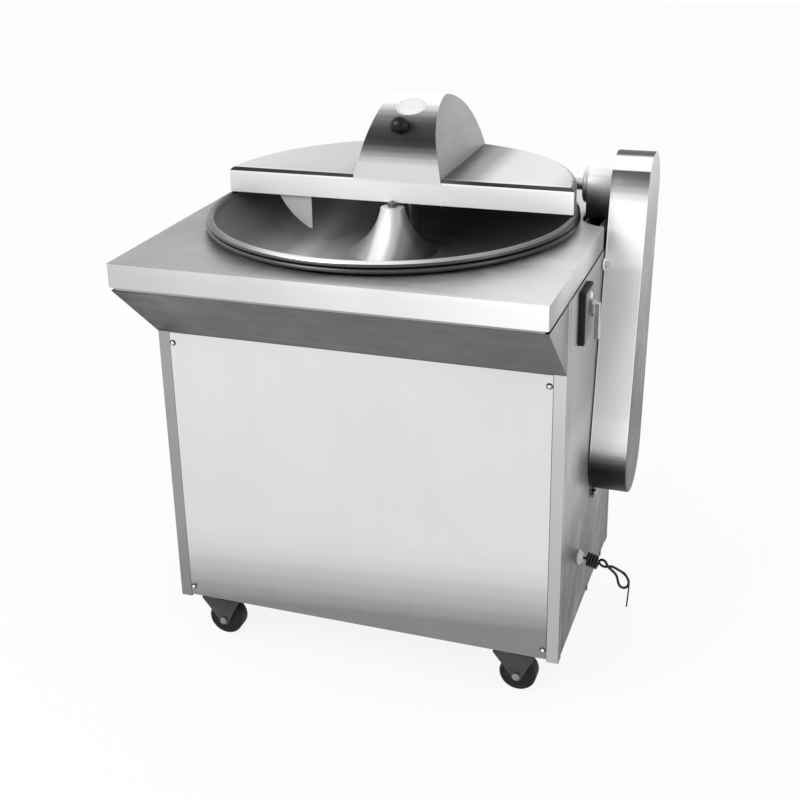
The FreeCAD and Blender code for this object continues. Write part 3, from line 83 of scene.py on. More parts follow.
# %% Camera at the photograph's place
def look_camera(place, yaw, pitch, roll, lens, shift):
    data = bpy.data.cameras.new("photo_camera")
    camera = bpy.data.objects.new("photo_camera", data)
    bpy.context.scene.collection.objects.link(camera)
    ahead = Vector((-math.sin(yaw) * math.cos(pitch), math.cos(yaw) * math.cos(pitch), -math.sin(pitch)))
    right = Vector((math.cos(yaw), math.sin(yaw), 0))
    up = right.cross(ahead)
    turned_right = right * math.cos(roll) + up * math.sin(roll)
    turned_up = up * math.cos(roll) - right * math.sin(roll)
    axes = Matrix((turned_right, turned_up, -ahead)).transposed()
    camera.matrix_world = Matrix.Translation(place) @ axes.to_4x4()
    data.lens = lens
    data.sensor_width = 36
    data.shift_x, data.shift_y = shift
    data.clip_end = 30
    bpy.context.scene.camera = camera
    return camera


look_camera(Vector((0.6691, -1.9806, 1.3546)), math.radians(20.93), math.radians(21.49), math.radians(-1.7),
            58.6, (0.0442, -0.0702))
bpy.context.scene.view_settings.view_transform = "Standard"

# %% [markdown]
# ## Studio
# Polished steel shows its surroundings, so the room matters more than the lamps. The world is plain white
# for the camera and for reflections, and a softer level for lighting, so that colours render about as
# written. The floor is white too, with a share of real shading left in it that keeps the shadow under the
# casters.

# %% World and floor
def tree_of(owner):
    owner.use_nodes = True
    owner.node_tree.nodes.clear()
    return owner.node_tree


def link(tree, source, target):
    tree.links.new(source, target)


def seen_directly(tree):
    """1 for camera, glossy and transmission rays, which show the background."""
    path = tree.nodes.new("ShaderNodeLightPath")
    first = tree.nodes.new("ShaderNodeMath")
    second = tree.nodes.new("ShaderNodeMath")
    first.operation = second.operation = "MAXIMUM"
    link(tree, path.outputs["Is Camera Ray"], first.inputs[0])
    link(tree, path.outputs["Is Glossy Ray"], first.inputs[1])
    link(tree, first.outputs[0], second.inputs[0])
    link(tree, path.outputs["Is Transmission Ray"], second.inputs[1])
    return second.outputs[0]


ROOM_LIGHT = 0.92
world = bpy.data.worlds.new("studio")
bpy.context.scene.world = world
tree = tree_of(world)
strength = tree.nodes.new("ShaderNodeMapRange")
strength.inputs["To Min"].default_value = ROOM_LIGHT
strength.inputs["To Max"].default_value = 1.0
room = tree.nodes.new("ShaderNodeBackground")
out = tree.nodes.new("ShaderNodeOutputWorld")
link(tree, seen_directly(tree), strength.inputs["Value"])
link(tree, strength.outputs["Result"], room.inputs["Strength"])
room.inputs["Color"].default_value = (1, 1, 1, 1)
link(tree, room.outputs[0], out.inputs["Surface"])


def floor_material():
    material = bpy.data.materials.new("pale_floor")
    tree = tree_of(material)
    glow = tree.nodes.new("ShaderNodeEmission")
    matt = tree.nodes.new("ShaderNodeBsdfDiffuse")
    matt.inputs["Color"].default_value = (0.85, 0.85, 0.85, 1)
    mix = tree.nodes.new("ShaderNodeMixShader")
    share = tree.nodes.new("ShaderNodeMapRange")
    share.inputs["To Min"].default_value = 1.0
    share.inputs["To Max"].default_value = 0.12
    out = tree.nodes.new("ShaderNodeOutputMaterial")
    link(tree, seen_directly(tree), share.inputs["Value"])
    link(tree, share.outputs["Result"], mix.inputs["Fac"])
    link(tree, glow.outputs[0], mix.inputs[1])
    link(tree, matt.outputs[0], mix.inputs[2])
    link(tree, mix.outputs[0], out.inputs["Surface"])
    return material


def new_piece(name, mesh):
    piece = bpy.data.objects.new(name, mesh)
    bpy.context.scene.collection.objects.link(piece)
    return piece


FLOOR_REACH = 9.0
floor_mesh = bpy.data.meshes.new("floor")
floor_mesh.from_pydata([(x, y, 0) for x, y in ((-FLOOR_REACH, -FLOOR_REACH), (FLOOR_REACH, -FLOOR_REACH),
                                               (FLOOR_REACH, FLOOR_REACH), (-FLOOR_REACH, FLOOR_REACH))],
                       [], [(0, 1, 2, 3)])
floor = new_piece("floor", floor_mesh)
floor_mesh.materials.append(floor_material())


def soft_lamp(name, place, target, size, watts):
    data = bpy.data.lights.new(name, "AREA")
    data.shape = "SQUARE"
    data.size = size
    data.energy = watts
    lamp = bpy.data.objects.new(name, data)
    bpy.context.scene.collection.objects.link(lamp)
    lamp.location = place
    lamp.rotation_euler = (Vector(target) - Vector(place)).to_track_quat("-Z", "Y").to_euler()
    return lamp


soft_lamp("key_lamp", (-1.6, -2.4, 2.6), (0, 0, 0.5), 1.6, 40)
soft_lamp("side_lamp", (2.8, -0.8, 1.6), (0.2, 0, 0.5), 1.2, 10)
print("studio ready")

# %% [markdown]
# ## Effects that several finishes share
# Sheet steel is rolled and brushed, wiped with cloths and touched with hands. Two small shader groups give
# that: **grain** draws long fine scratches, and **clouds** draws the soft patches of wiping and grease. A
# third, **along**, measures how far a point lies between two points of the machine, which is how the painted
# reflections and painted shade of a sheet go from pale to dark over its length. A group gives only masks and
# heights, and the shader stays in the material.

# %% Shader groups
FLOAT, VECTOR = "NodeSocketFloat", "NodeSocketVector"


def new_group(name, inputs, outputs):
    tree = bpy.data.node_groups.new(name, "ShaderNodeTree")
    for label, kind, value in inputs:
        tree.interface.new_socket(label, in_out="INPUT", socket_type=kind).default_value = value
    for label in outputs:
        tree.interface.new_socket(label, in_out="OUTPUT", socket_type=FLOAT)
    return tree, tree.nodes.new("NodeGroupInput"), tree.nodes.new("NodeGroupOutput")


def node(tree, kind, **settings):
    made = tree.nodes.new(kind)
    for name, value in settings.items():
        setattr(made, name, value)
    return made


def grain_group():
    tree, given, result = new_group("grain", [("Stretch", VECTOR, (4, 600, 600))], ["Height", "Streaks"])
    place = node(tree, "ShaderNodeTexCoord")
    spread = node(tree, "ShaderNodeVectorMath", operation="MULTIPLY")
    fine = node(tree, "ShaderNodeTexNoise")
    broad = node(tree, "ShaderNodeTexNoise")
    fine.inputs["Scale"].default_value = 1.0
    fine.inputs["Detail"].default_value = 4
    broad.inputs["Scale"].default_value = 0.08
    broad.inputs["Detail"].default_value = 3
    link(tree, place.outputs["Object"], spread.inputs[0])
    link(tree, given.outputs["Stretch"], spread.inputs[1])
    link(tree, spread.outputs[0], fine.inputs["Vector"])
    link(tree, spread.outputs[0], broad.inputs["Vector"])
    both = node(tree, "ShaderNodeMix", data_type="FLOAT")
    both.inputs["Factor"].default_value = 0.5
    link(tree, fine.outputs["Fac"], both.inputs["A"])
    link(tree, broad.outputs["Fac"], both.inputs["B"])
    link(tree, fine.outputs["Fac"], result.inputs["Height"])
    link(tree, both.outputs["Result"], result.inputs["Streaks"])
    return tree


def clouds_group():
    tree, given, result = new_group(
        "clouds", [("Scale", FLOAT, 6.0), ("Low", FLOAT, 0.9), ("High", FLOAT, 1.0)], ["Value"])
    place = node(tree, "ShaderNodeTexCoord")
    noise = node(tree, "ShaderNodeTexNoise")
    noise.inputs["Detail"].default_value = 5
    noise.inputs["Roughness"].default_value = 0.6
    noise.inputs["Distortion"].default_value = 0.6
    spread = node(tree, "ShaderNodeMapRange", interpolation_type="SMOOTHSTEP")
    spread.inputs["From Min"].default_value = 0.32
    spread.inputs["From Max"].default_value = 0.68
    link(tree, place.outputs["Object"], noise.inputs["Vector"])
    link(tree, given.outputs["Scale"], noise.inputs["Scale"])
    link(tree, noise.outputs["Fac"], spread.inputs["Value"])
    link(tree, given.outputs["Low"], spread.inputs["To Min"])
    link(tree, given.outputs["High"], spread.inputs["To Max"])
    link(tree, spread.outputs["Result"], result.inputs["Value"])
    return tree


def along_group():
    tree, given, result = new_group(
        "along", [("From", VECTOR, (0, 0, 0)), ("To", VECTOR, (0, 0, 1))], ["Share"])
    place = node(tree, "ShaderNodeTexCoord")
    way = node(tree, "ShaderNodeVectorMath", operation="SUBTRACT")
    offset = node(tree, "ShaderNodeVectorMath", operation="SUBTRACT")
    across = node(tree, "ShaderNodeVectorMath", operation="DOT_PRODUCT")
    whole = node(tree, "ShaderNodeVectorMath", operation="DOT_PRODUCT")
    share = node(tree, "ShaderNodeMath", operation="DIVIDE", use_clamp=True)
    link(tree, given.outputs["To"], way.inputs[0])
    link(tree, given.outputs["From"], way.inputs[1])
    link(tree, place.outputs["Object"], offset.inputs[0])
    link(tree, given.outputs["From"], offset.inputs[1])
    for side, source in enumerate((offset, way)):
        link(tree, source.outputs[0], across.inputs[side])
        link(tree, way.outputs[0], whole.inputs[side])
    link(tree, across.outputs["Value"], share.inputs[0])
    link(tree, whole.outputs["Value"], share.inputs[1])
    link(tree, share.outputs[0], result.inputs["Share"])
    return tree


GRAIN, CLOUDS, ALONG = grain_group(), clouds_group(), along_group()
print("shader groups", [group.name for group in (GRAIN, CLOUDS, ALONG)])

# %% [markdown]
# ## Sheet and solid steel
# One maker serves every metal: the tones run along a line of the machine, clouds make them uneven, and the
# grain scatters the gloss. On most sheets those tones are painted reflection, painted highlight and painted
# shade, and a second ramp can add a painted highlight on top. Brushed sheet takes long strokes and a
# half-matt gloss, polished steel short ones and a clear gloss, and ground or cast metal takes a grain that is
# equal each way.

# %% Metal maker
def use_group(tree, group, **values):
    made = tree.nodes.new("ShaderNodeGroup")
    made.node_tree = group
    for label, value in values.items():
        made.inputs[label].default_value = value
    return made


def tone_ramp(tree, start, end, tones):
    """A grey that goes through the tones, given as {share of the way: linear grey}, from start to end."""
    share = use_group(tree, ALONG, From=start, To=end)
    ramp = tree.nodes.new("ShaderNodeValToRGB")
    ramp.color_ramp.interpolation = "EASE"
    steps = ramp.color_ramp.elements
    while len(steps) < len(tones):
        steps.new(0.5)
    for step, (place, tone) in zip(steps, sorted(tones.items())):
        step.position = place
    for step, (place, tone) in zip(steps, sorted(tones.items())):
        step.color = (tone * 0.99, tone, tone * 1.015, 1)
    link(tree, share.outputs["Share"], ramp.inputs["Fac"])
    return ramp.outputs["Color"]


def times(tree, first, second, clamp=False):
    made = node(tree, "ShaderNodeMath", operation="MULTIPLY", use_clamp=clamp)
    for socket, value in zip(made.inputs, (first, second)):
        if isinstance(value, (int, float)):
            socket.default_value = value
        else:
            link(tree, value, socket)
    return made.outputs[0]


def map_value(tree, source, low, high, low_in=0.0, high_in=1.0):
    made = node(tree, "ShaderNodeMapRange")
    link(tree, source, made.inputs["Value"])
    for label, value in (("From Min", low_in), ("From Max", high_in), ("To Min", low), ("To Max", high)):
        made.inputs[label].default_value = value
    return made.outputs["Result"]


def scale_colour(tree, colour, factor):
    made = node(tree, "ShaderNodeVectorMath", operation="SCALE")
    link(tree, colour, made.inputs[0])
    link(tree, factor, made.inputs["Scale"])
    return made.outputs[0]


def new_material(name):
    material = bpy.data.materials.new(name)
    tree = tree_of(material)
    shader = tree.nodes.new("ShaderNodeBsdfPrincipled")
    link(tree, shader.outputs[0], tree.nodes.new("ShaderNodeOutputMaterial").inputs["Surface"])
    return material, tree, shader


def metal(name, tones, start=(0, 0, 0), end=(0, 0, 1), strokes=(5, 700, 700), rough=0.34, wear=0.9,
          cloud_scale=5.0, scratch=0.06, streak=0.05, metallic=1.0, painted_highlight_ramp=None):
    material, tree, shader = new_material(name)
    tone = tone_ramp(tree, start, end, tones)
    # painted_highlight_ramp: a second ramp of tones added on top of the first, a painted highlight
    if painted_highlight_ramp:
        with_highlight = node(tree, "ShaderNodeVectorMath", operation="ADD")
        link(tree, tone, with_highlight.inputs[0])
        link(tree, tone_ramp(tree, *painted_highlight_ramp), with_highlight.inputs[1])
        tone = with_highlight.outputs[0]
    grain = use_group(tree, GRAIN, Stretch=strokes)
    patches = use_group(tree, CLOUDS, Scale=cloud_scale, Low=wear, High=1.0)
    streaks = map_value(tree, grain.outputs["Streaks"], 1 - streak, 1 + streak, 0.3, 0.7)
    colour = scale_colour(tree, tone, patches.outputs["Value"])
    link(tree, scale_colour(tree, colour, streaks), shader.inputs["Base Color"])
    gloss = map_value(tree, grain.outputs["Streaks"], rough * 0.85, rough * 1.2, 0.3, 0.7)
    touched = use_group(tree, CLOUDS, Scale=cloud_scale * 2.3, Low=0.9, High=1.15)
    link(tree, times(tree, gloss, touched.outputs["Value"]), shader.inputs["Roughness"])
    bump = tree.nodes.new("ShaderNodeBump")
    bump.inputs["Strength"].default_value = scratch
    bump.inputs["Distance"].default_value = 0.0004
    link(tree, grain.outputs["Height"], bump.inputs["Height"])
    link(tree, bump.outputs["Normal"], shader.inputs["Normal"])
    shader.inputs["Metallic"].default_value = metallic
    return material


def plain_stuff(name, colour, rough, pebble=900.0, depth=0.1, wear=0.8, cloud_scale=20.0, coat=0.0,
                shine=0.5):
    """Paint, plastic or rubber: an even colour with faint patches and a fine skin."""
    material, tree, shader = new_material(name)
    patches = use_group(tree, CLOUDS, Scale=cloud_scale, Low=wear, High=1.0)
    tint = tree.nodes.new("ShaderNodeRGB")
    tint.outputs[0].default_value = (*colour, 1)
    link(tree, scale_colour(tree, tint.outputs[0], patches.outputs["Value"]), shader.inputs["Base Color"])
    link(tree, map_value(tree, patches.outputs["Value"], rough * 1.15, rough * 0.9, wear, 1.0),
         shader.inputs["Roughness"])
    skin = use_group(tree, GRAIN, Stretch=(pebble, pebble, pebble))
    bump = tree.nodes.new("ShaderNodeBump")
    bump.inputs["Strength"].default_value = depth
    bump.inputs["Distance"].default_value = 0.0003
    link(tree, skin.outputs["Height"], bump.inputs["Height"])
    link(tree, bump.outputs["Normal"], shader.inputs["Normal"])
    shader.inputs["Coat Weight"].default_value = coat
    shader.inputs["Specular IOR Level"].default_value = shine
    return material


# %% [markdown]
# ## The finishes of this machine
# Bare sheet steel is a mirror with a soft edge: each sheet shows pale wall where it faces the room and a
# dark band where it faces something dark. Those bands are painted into the colour here as painted reflection
# and painted shade, so each face has its own line of tones, from one end of the sheet to the other. Levels
# are linear greys.

# %% Faces that the tones run along
FRONT = CABINET_LOW.y
FLOOR_EDGE = CABINET_LOW.z
RIGHT = CABINET_HIGH.x
LEFT = CABINET_LOW.x
HOOD_LOW, HOOD_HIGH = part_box("bowl_cover")
HOUSING_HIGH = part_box("bearing_housing")[1]
UPRIGHT = (700, 700, 5)
EVEN = (260, 260, 260)
LOW_END, HIGH_END = (0, 0, FLOOR_EDGE), (0, 0, TABLE)
LEFT_END, RIGHT_END = (LEFT, 0, 0), (RIGHT, 0, 0)

# %% Sheet finishes
FINISH = {
    # Table: painted reflection, the top darker towards the left, the front edge paler, bands along the right edge
    "table": metal("table_steel_painted_reflection", {0.0: 0.37, 0.3: 0.45, 0.6: 0.62, 1.0: 0.8}, LEFT_END, RIGHT_END, rough=0.4,
                   wear=0.93, metallic=0.8),
    "table_front": metal("table_edge_steel_painted_reflection", {0.0: 0.53, 0.3: 0.63, 0.6: 0.78, 1.0: 0.96}, LEFT_END, RIGHT_END,
                         rough=0.4, wear=0.97, streak=0.02, metallic=0.6),
    "table_side": metal("table_right_steel_painted_reflection", {0.0: 0.4, 0.25: 0.72, 0.5: 0.8, 0.75: 0.3, 1.0: 0.6},
                        (0, TABLE_LOW.y, 0), (0, TABLE_HIGH.y * 0.4, 0), (500, 5, 500), 0.36, 0.95),
    # Front and back panels: painted shade, darker towards the bottom
    "front": metal("front_sheet_steel_painted_shade",
                   {0.0: 0.26, 0.04: 0.35, 0.09: 0.46, 0.14: 0.55, 0.19: 0.66, 0.24: 0.72, 0.3: 0.745, 1.0: 0.74},
                   (LEFT, FRONT, FLOOR_EDGE), (LEFT - 0.04, FRONT, FLOOR_EDGE + 0.5), UPRIGHT, 0.42, 0.98,
                   streak=0.015, scratch=0.03),
    # Side panels and the posts' right faces: painted shade, darkest at the bottom
    "side": metal("side_sheet_steel_painted_shade",
                  {0.0: 0.07, 0.12: 0.1, 0.26: 0.18, 0.4: 0.36, 0.54: 0.48, 0.64: 0.38, 1.0: 0.42},
                  LOW_END, HIGH_END, UPRIGHT, 0.42, 0.98, streak=0.006, scratch=0.02, metallic=0.75),
    # Posts: painted shade, darker towards the floor, and the left post darker all over
    "post": metal("right_post_steel_painted_shade", {0.0: 0.46, 0.5: 0.56, 0.85: 0.7, 1.0: 0.7}, LOW_END, HIGH_END, UPRIGHT,
                  0.36, 0.96, streak=0.02),
    "left_post": metal("left_post_steel_painted_shade", {0.0: 0.26, 0.3: 0.34, 1.0: 0.4}, LOW_END, HIGH_END, UPRIGHT, 0.36,
                       0.93, streak=0.03),
    # Cornice: a dark grey sheet as painted shade, darkest at its left end; its right end darker towards the
    # bottom
    "slope": metal("slope_steel_painted_shade", {0.0: 0.06, 0.05: 0.1, 0.12: 0.16, 1.0: 0.165}, LEFT_END, RIGHT_END,
                   rough=0.5, wear=0.97, streak=0.02, metallic=0.8),
    "slope_end": metal("slope_end_steel_painted_shade", {0.0: 0.22, 1.0: 0.42}, (0, 0, TABLE - 0.16), HIGH_END, UPRIGHT,
                       0.4, 0.95, streak=0.02),
    # Hood plate: painted reflection with a dark band about six tenths of the way from left to right, and a
    # painted highlight along its front edge
    "hood": metal("hood_steel_painted_reflection", {0.0: 0.7, 0.3: 0.6, 0.385: 0.5, 0.6: 0.09, 0.645: 0.09, 0.7: 0.3, 0.78: 0.8,
                                 0.92: 0.84, 1.0: 0.6},
                  (HOOD_LOW.x, 0, 0), (HOOD_HIGH.x, 0, 0), (5, 500, 500), 0.34, 0.96, streak=0.02,
                  painted_highlight_ramp=((0, HOOD_LOW.y, 0), (0, HOOD_LOW.y + 0.045, 0), {0.0: 0.35, 0.5: 0.3, 1.0: 0.0})),
    # Hood fold: a dark painted reflection line along the fold
    "hood_bend": metal("hood_fold_steel_painted_reflection", {0.0: 0.03, 0.3: 0.05, 0.6: 0.12, 0.75: 0.04, 1.0: 0.08},
                       (HOOD_LOW.x, 0, 0), (HOOD_HIGH.x, 0, 0), (5, 500, 500), 0.34, 0.95),
    # Hood skirt: near-white and barely metallic, a painted reflection of the bright room, a little darker at its
    # left end
    "skirt": metal("hood_front_steel_painted_reflection", {0.0: 0.74, 0.2: 0.88, 0.4: 1.0, 1.0: 1.0},
                   (HOOD_LOW.x, 0, 0), (HOOD_HIGH.x, 0, 0), (5, 500, 500), 0.5, 0.99, streak=0.01,
                   metallic=0.05),
    # Arch front: painted reflection, pale with a near-black band a little above half its height
    "brow": metal("arch_front_steel_painted_reflection",
                  {0.0: 0.98, 0.22: 0.97, 0.3: 0.7, 0.35: 0.44, 0.42: 0.2, 0.49: 0.06, 0.56: 0.024,
                   0.67: 0.023, 0.73: 0.035, 0.785: 0.09, 0.84: 0.27, 0.89: 0.55, 0.935: 0.85, 1.0: 0.98},
                  (0, 0, TABLE + 0.06), (0, 0, HOOD_HIGH.z), (5, 500, 500), 0.42, 0.98, streak=0.01,
                  scratch=0.03, metallic=0.1),
    # Arch's leaning left side: painted reflection, pale with a darker band at about half height
    "brow_edge": metal("arch_left_steel_painted_reflection", {0.0: 0.95, 0.4: 0.7, 0.6: 0.5, 0.8: 0.8, 1.0: 0.98},
                       (0, 0, TABLE + 0.06), (0, 0, HOOD_HIGH.z), (5, 500, 500), 0.4, 0.98, streak=0.01,
                       metallic=0.3),
    # Arch's right side: painted shade, a flat darker grey than the front
    "arch_side": metal("arch_side_steel_painted_shade", {0.0: 0.36, 1.0: 0.38}, (0, 0, TABLE + 0.07), (0, 0, HOOD_HIGH.z),
                       (500, 5, 500), 0.4, 0.97, streak=0.02, metallic=0.9),
    # Belt guard's outer face: painted shade, darker towards the bottom
    "guard_face": metal("guard_face_steel_painted_shade", {0.0: 0.09, 0.25: 0.12, 0.5: 0.22, 0.75: 0.38, 1.0: 0.66},
                        (0, 0, GUARD_LOW.z), (0, 0, GUARD_HIGH.z), UPRIGHT, 0.4, 0.98, streak=0.01,
                        scratch=0.02),
    # Belt guard's wall: painted reflection, dark and pale bands by height
    "guard_wall": metal("guard_wall_steel_painted_reflection",
                        {0.0: 0.005, 0.109: 0.01, 0.127: 0.04, 0.145: 0.16, 0.156: 0.33, 0.168: 0.65,
                         0.179: 0.85, 0.205: 0.98, 0.25: 0.98, 0.29: 0.88, 0.63: 0.8, 0.682: 0.8, 0.717: 0.95,
                         0.762: 1.0, 0.873: 0.95, 0.894: 0.7, 0.912: 0.42, 0.93: 0.2, 0.947: 0.1, 0.9618: 0.07,
                         0.9632: 0.95, 0.992: 0.98, 0.994: 0.1, 1.0: 0.07},
                        (0, 0, GUARD_LOW.z), (0, 0, GUARD_HIGH.z), UPRIGHT, 0.42, 0.99, streak=0.006,
                        scratch=0.015, metallic=0.5),
    # Bearing housing: near-black at the bottom as painted shade, rising to near-white at the top as a painted
    # highlight
    "housing": metal("bearing_housing_steel_painted_shade_and_highlight",
                     {0.0: 0.02, 0.15: 0.025, 0.23: 0.04, 0.31: 0.075, 0.385: 0.12, 0.47: 0.21, 0.53: 0.31,
                      0.615: 0.42, 0.7: 0.52, 0.77: 0.62, 0.85: 0.85, 1.0: 1.0},
                     (0, 0, TABLE), (0, 0, HOUSING_HIGH.z), (900, 60, 60), 0.4, 0.98, streak=0.01,
                     scratch=0.02, metallic=0.5),
}
print("sheet finishes", len(FINISH))

# %% [markdown]
# The turned parts, the paint, the rubber and the plastics are simpler: one or two tones and a surface that
# scatters the gloss in its own way. The spun bowl, its cone and its rim also scatter the gloss their own way,
# but run through several tones of painted reflection, painted highlight and painted shade.

# %% Finishes of the smaller parts
FINISH.update({
    # Bowl: painted reflection, a bright band left of the axis and dark to the right
    "bowl": metal("bowl_steel_painted_reflection",
                  {0.0: 0.12, 0.1: 0.2, 0.18: 0.4, 0.25: 0.75, 0.31: 0.5, 0.4: 0.28, 0.47: 0.12, 0.55: 0.1,
                   1.0: 0.14},
                  (BOWL_LOW.x, 0, 0), (BOWL_HIGH.x, 0, 0), (90, 90, 500), 0.4, 0.9, 9.0, 0.02, 0.03,
                  metallic=0.3),
    # Cone: a painted highlight band down its middle and painted shade on its right
    "cone": metal("cone_steel_painted_highlight",
                  {0.0: 0.3, 0.2: 0.3, 0.33: 0.4, 0.4: 0.85, 0.5: 0.98, 0.58: 0.5, 0.66: 0.2, 0.8: 0.06,
                   1.0: 0.03},
                  (BOWL_X - 0.08, 0, 0), (BOWL_X + 0.08, 0, 0), (90, 90, 500), 0.36, 0.98, 9.0, 0.01, 0.01,
                  metallic=0.3),
    # Rim top: a painted highlight, brightest across the middle and darker at both ends
    "rim": metal("rim_steel_painted_highlight",
                 {0.0: 0.1, 0.1: 0.13, 0.25: 0.3, 0.4: 0.9, 0.5: 1.0, 0.62: 0.9, 0.8: 0.35, 1.0: 0.12},
                 (BOWL_LOW.x, 0, 0), (BOWL_HIGH.x, 0, 0), (60, 60, 900), 0.26, 0.96, 9.0, 0.02, 0.03,
                 metallic=0.9),
    # Rim's outer wall: painted shade, near-black
    "rim_side": metal("rim_side_steel_painted_shade", {0.0: 0.14, 1.0: 0.06},
                      (BOWL_LOW.x, 0, 0), (BOWL_HIGH.x, 0, 0), (60, 60, 900), 0.3, 0.95, 9.0, 0.03, 0.05),
    "nut": metal("bowl_nut_steel", {0.0: 0.12, 1.0: 0.2}, (0, 0, TABLE), (0, 0, TABLE + 0.04), EVEN, 0.3),
    "plate": metal("scraper_steel", {0.0: 0.5, 1.0: 0.62}, (0, 0, TABLE - 0.06), (0, 0, TABLE + 0.02),
                   UPRIGHT, 0.4, 0.97, scratch=0.02, streak=0.02, metallic=0.3),
    # Scraper plate's edges: painted shade, near-black outlines
    "plate_edge": metal("scraper_edge_steel_painted_shade", {0.0: 0.08, 1.0: 0.1}, LOW_END, HIGH_END, EVEN, 0.5),
    "turned": metal("turned_steel", {0.0: 0.5, 1.0: 0.62}, (0, 0, 0.3), HIGH_END, (900, 30, 30), 0.26),
    "knife": metal("knife_steel", {0.0: 0.5, 1.0: 0.62}, (0, 0, TABLE - 0.1), (0, 0, TABLE + 0.1),
                   (60, 800, 60), 0.24, 0.95, metallic=0.8),
    # Screws: the washer painted near-black as painted shade, the dome near-white as a painted highlight
    "screw_ring": metal("screw_ring_steel_painted_shade", {0.0: 0.05, 1.0: 0.06}, (0, 0, 0), HIGH_END, EVEN, 0.4),
    "screw_dome": metal("screw_dome_steel_painted_highlight", {0.0: 0.85, 1.0: 0.9}, (0, 0, 0), HIGH_END, EVEN, 0.2),
    "badge": metal("bare_disc_steel", {0.0: 0.72, 1.0: 0.84}, (0, 0, HOOD_HIGH.z - 0.04), (0, 0, HOOD_HIGH.z),
                   EVEN, 0.3, 0.97, metallic=0.6),
    "frame": metal("frame_steel", {0.0: 0.3, 1.0: 0.42}, (0, 0, 0.1), HIGH_END, (300, 30, 300), 0.45, 0.8),
    "iron": metal("pulley_iron", {0.0: 0.1, 1.0: 0.14}, (0, 0, 0.3), HIGH_END, EVEN, 0.5, 0.8, 30.0, 0.3),
    "paint": plain_stuff("grey_motor_paint", (0.13, 0.16, 0.18), 0.42, 500.0, 0.25, 0.85, 14.0),
    "black_paint": plain_stuff("black_caster_paint", (0.045, 0.045, 0.047), 0.45, 700.0, 0.2, 0.7, 30.0,
                               shine=0.35),
    "tread": plain_stuff("caster_rubber", (0.014, 0.014, 0.015), 0.6, 800.0, 0.35, 0.75, 26.0, shine=0.25),
    "belt": plain_stuff("belt_rubber", (0.025, 0.025, 0.025), 0.75, 900.0, 0.4, 0.8, 30.0),
    "black_plastic": plain_stuff("black_plastic", (0.012, 0.012, 0.013), 0.5, 1100.0, 0.1, 0.8, 40.0,
                                 shine=0.2),
    "gloss_black": plain_stuff("knob_bakelite", (0.005, 0.005, 0.006), 0.2, 600.0, 0.02, 0.85, 30.0,
                               shine=0.22),
    "grey_plastic": plain_stuff("grey_plastic", (0.2, 0.205, 0.21), 0.4, 1000.0, 0.12, 0.9, 40.0),
    # Pale plastic: the cable gland's own colour, and on the selector knob a painted highlight
    "pale_plastic": plain_stuff("pale_plastic", (0.5, 0.505, 0.51), 0.35, 1000.0, 0.1, 0.93, 40.0),
    # Near-black plastic for the selector knob's rear and lower faces only, as painted shade
    "painted_shade_plastic": plain_stuff("painted_shade_plastic", (0.07, 0.07, 0.072), 0.4, 1000.0, 0.1, 0.9, 40.0),
    "bolt": metal("caster_bolt_steel", {0.0: 0.26, 1.0: 0.34}, (0, 0, 0), HIGH_END, EVEN, 0.35,
                  metallic=0.6),
    "white_plastic": plain_stuff("white_plastic", (0.8, 0.8, 0.79), 0.35, 900.0, 0.08, 0.93, 40.0),
    "cord": plain_stuff("cord_sheath", (0.012, 0.012, 0.014), 0.45, 900.0, 0.2, 0.8, 60.0, shine=0.35),
})
print("finishes", len(FINISH))

# %% [markdown]
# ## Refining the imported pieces
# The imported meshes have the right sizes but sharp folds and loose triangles. Bent sheet has a small radius
# at each fold, and that line of light is what makes it look like metal. So each piece is copied, its
# triangles are merged back into whole faces, its sharp edges get a narrow bevel, and only then is it shaded
# smooth.

# %% Helper that refines a CAD piece
SHARP = math.radians(32)


def plain_mesh(piece):
    """Gives the piece its evaluated mesh and takes its modifiers off."""
    graph = bpy.context.evaluated_depsgraph_get()
    mesh = bpy.data.meshes.new_from_object(piece.evaluated_get(graph), preserve_all_data_layers=True,
                                           depsgraph=graph)
    piece.modifiers.clear()
    piece.data = mesh
    return piece


def covered_area(mesh):
    mesh.calc_loop_triangles()
    return sum(triangle.area for triangle in mesh.loop_triangles)


def merged_copy(node_name, flatten=math.radians(0.6)):
    """A welded copy of a CAD node, with its flat faces joined unless flatten is None."""
    mesh = NODES[node_name].data.copy()
    shape = bmesh.new()
    shape.from_mesh(mesh)
    bmesh.ops.remove_doubles(shape, verts=shape.verts, dist=1e-6)
    if flatten is not None:
        bmesh.ops.dissolve_limit(shape, angle_limit=flatten, verts=shape.verts, edges=shape.edges)
    return mesh, shape


def finish_piece(piece, node_names, finish):
    body = BODY_OF[node_names[0]]
    piece.data.materials.clear()
    piece.data.materials.append(FINISH[finish])
    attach(piece, body)
    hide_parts(*node_names)
    return piece


def soften(piece, bevel, steps):
    """Rounds the sharp edges of a piece a little and shades it smooth."""
    rounding = piece.modifiers.new("soft_edges", "BEVEL")
    rounding.width = bevel
    rounding.segments = steps
    rounding.limit_method = "ANGLE"
    rounding.angle_limit = SHARP
    rounding.use_clamp_overlap = True
    plain_mesh(piece)
    piece.data.polygons.foreach_set("use_smooth", [True] * len(piece.data.polygons))
    piece.data.set_sharp_from_angle(angle=SHARP)


def beveled(node_name, bevel, steps, **settings):
    mesh, shape = merged_copy(node_name, **settings)
    shape.to_mesh(mesh)
    shape.free()
    piece = new_piece(node_name + "_dressed", mesh)
    soften(piece, bevel, steps)
    return piece


def refined(node_name, finish, bevel, steps):
    """A beveled copy. A joined face can close a hole, so a copy that gained area is made again in triangles."""
    piece = beveled(node_name, bevel, steps)
    if covered_area(piece.data) > covered_area(NODES[node_name].data) * 1.01:
        bpy.data.objects.remove(piece)
        piece = beveled(node_name, bevel, steps, flatten=None)
        print("kept in triangles:", node_name)
    return finish_piece(piece, [node_name], finish)
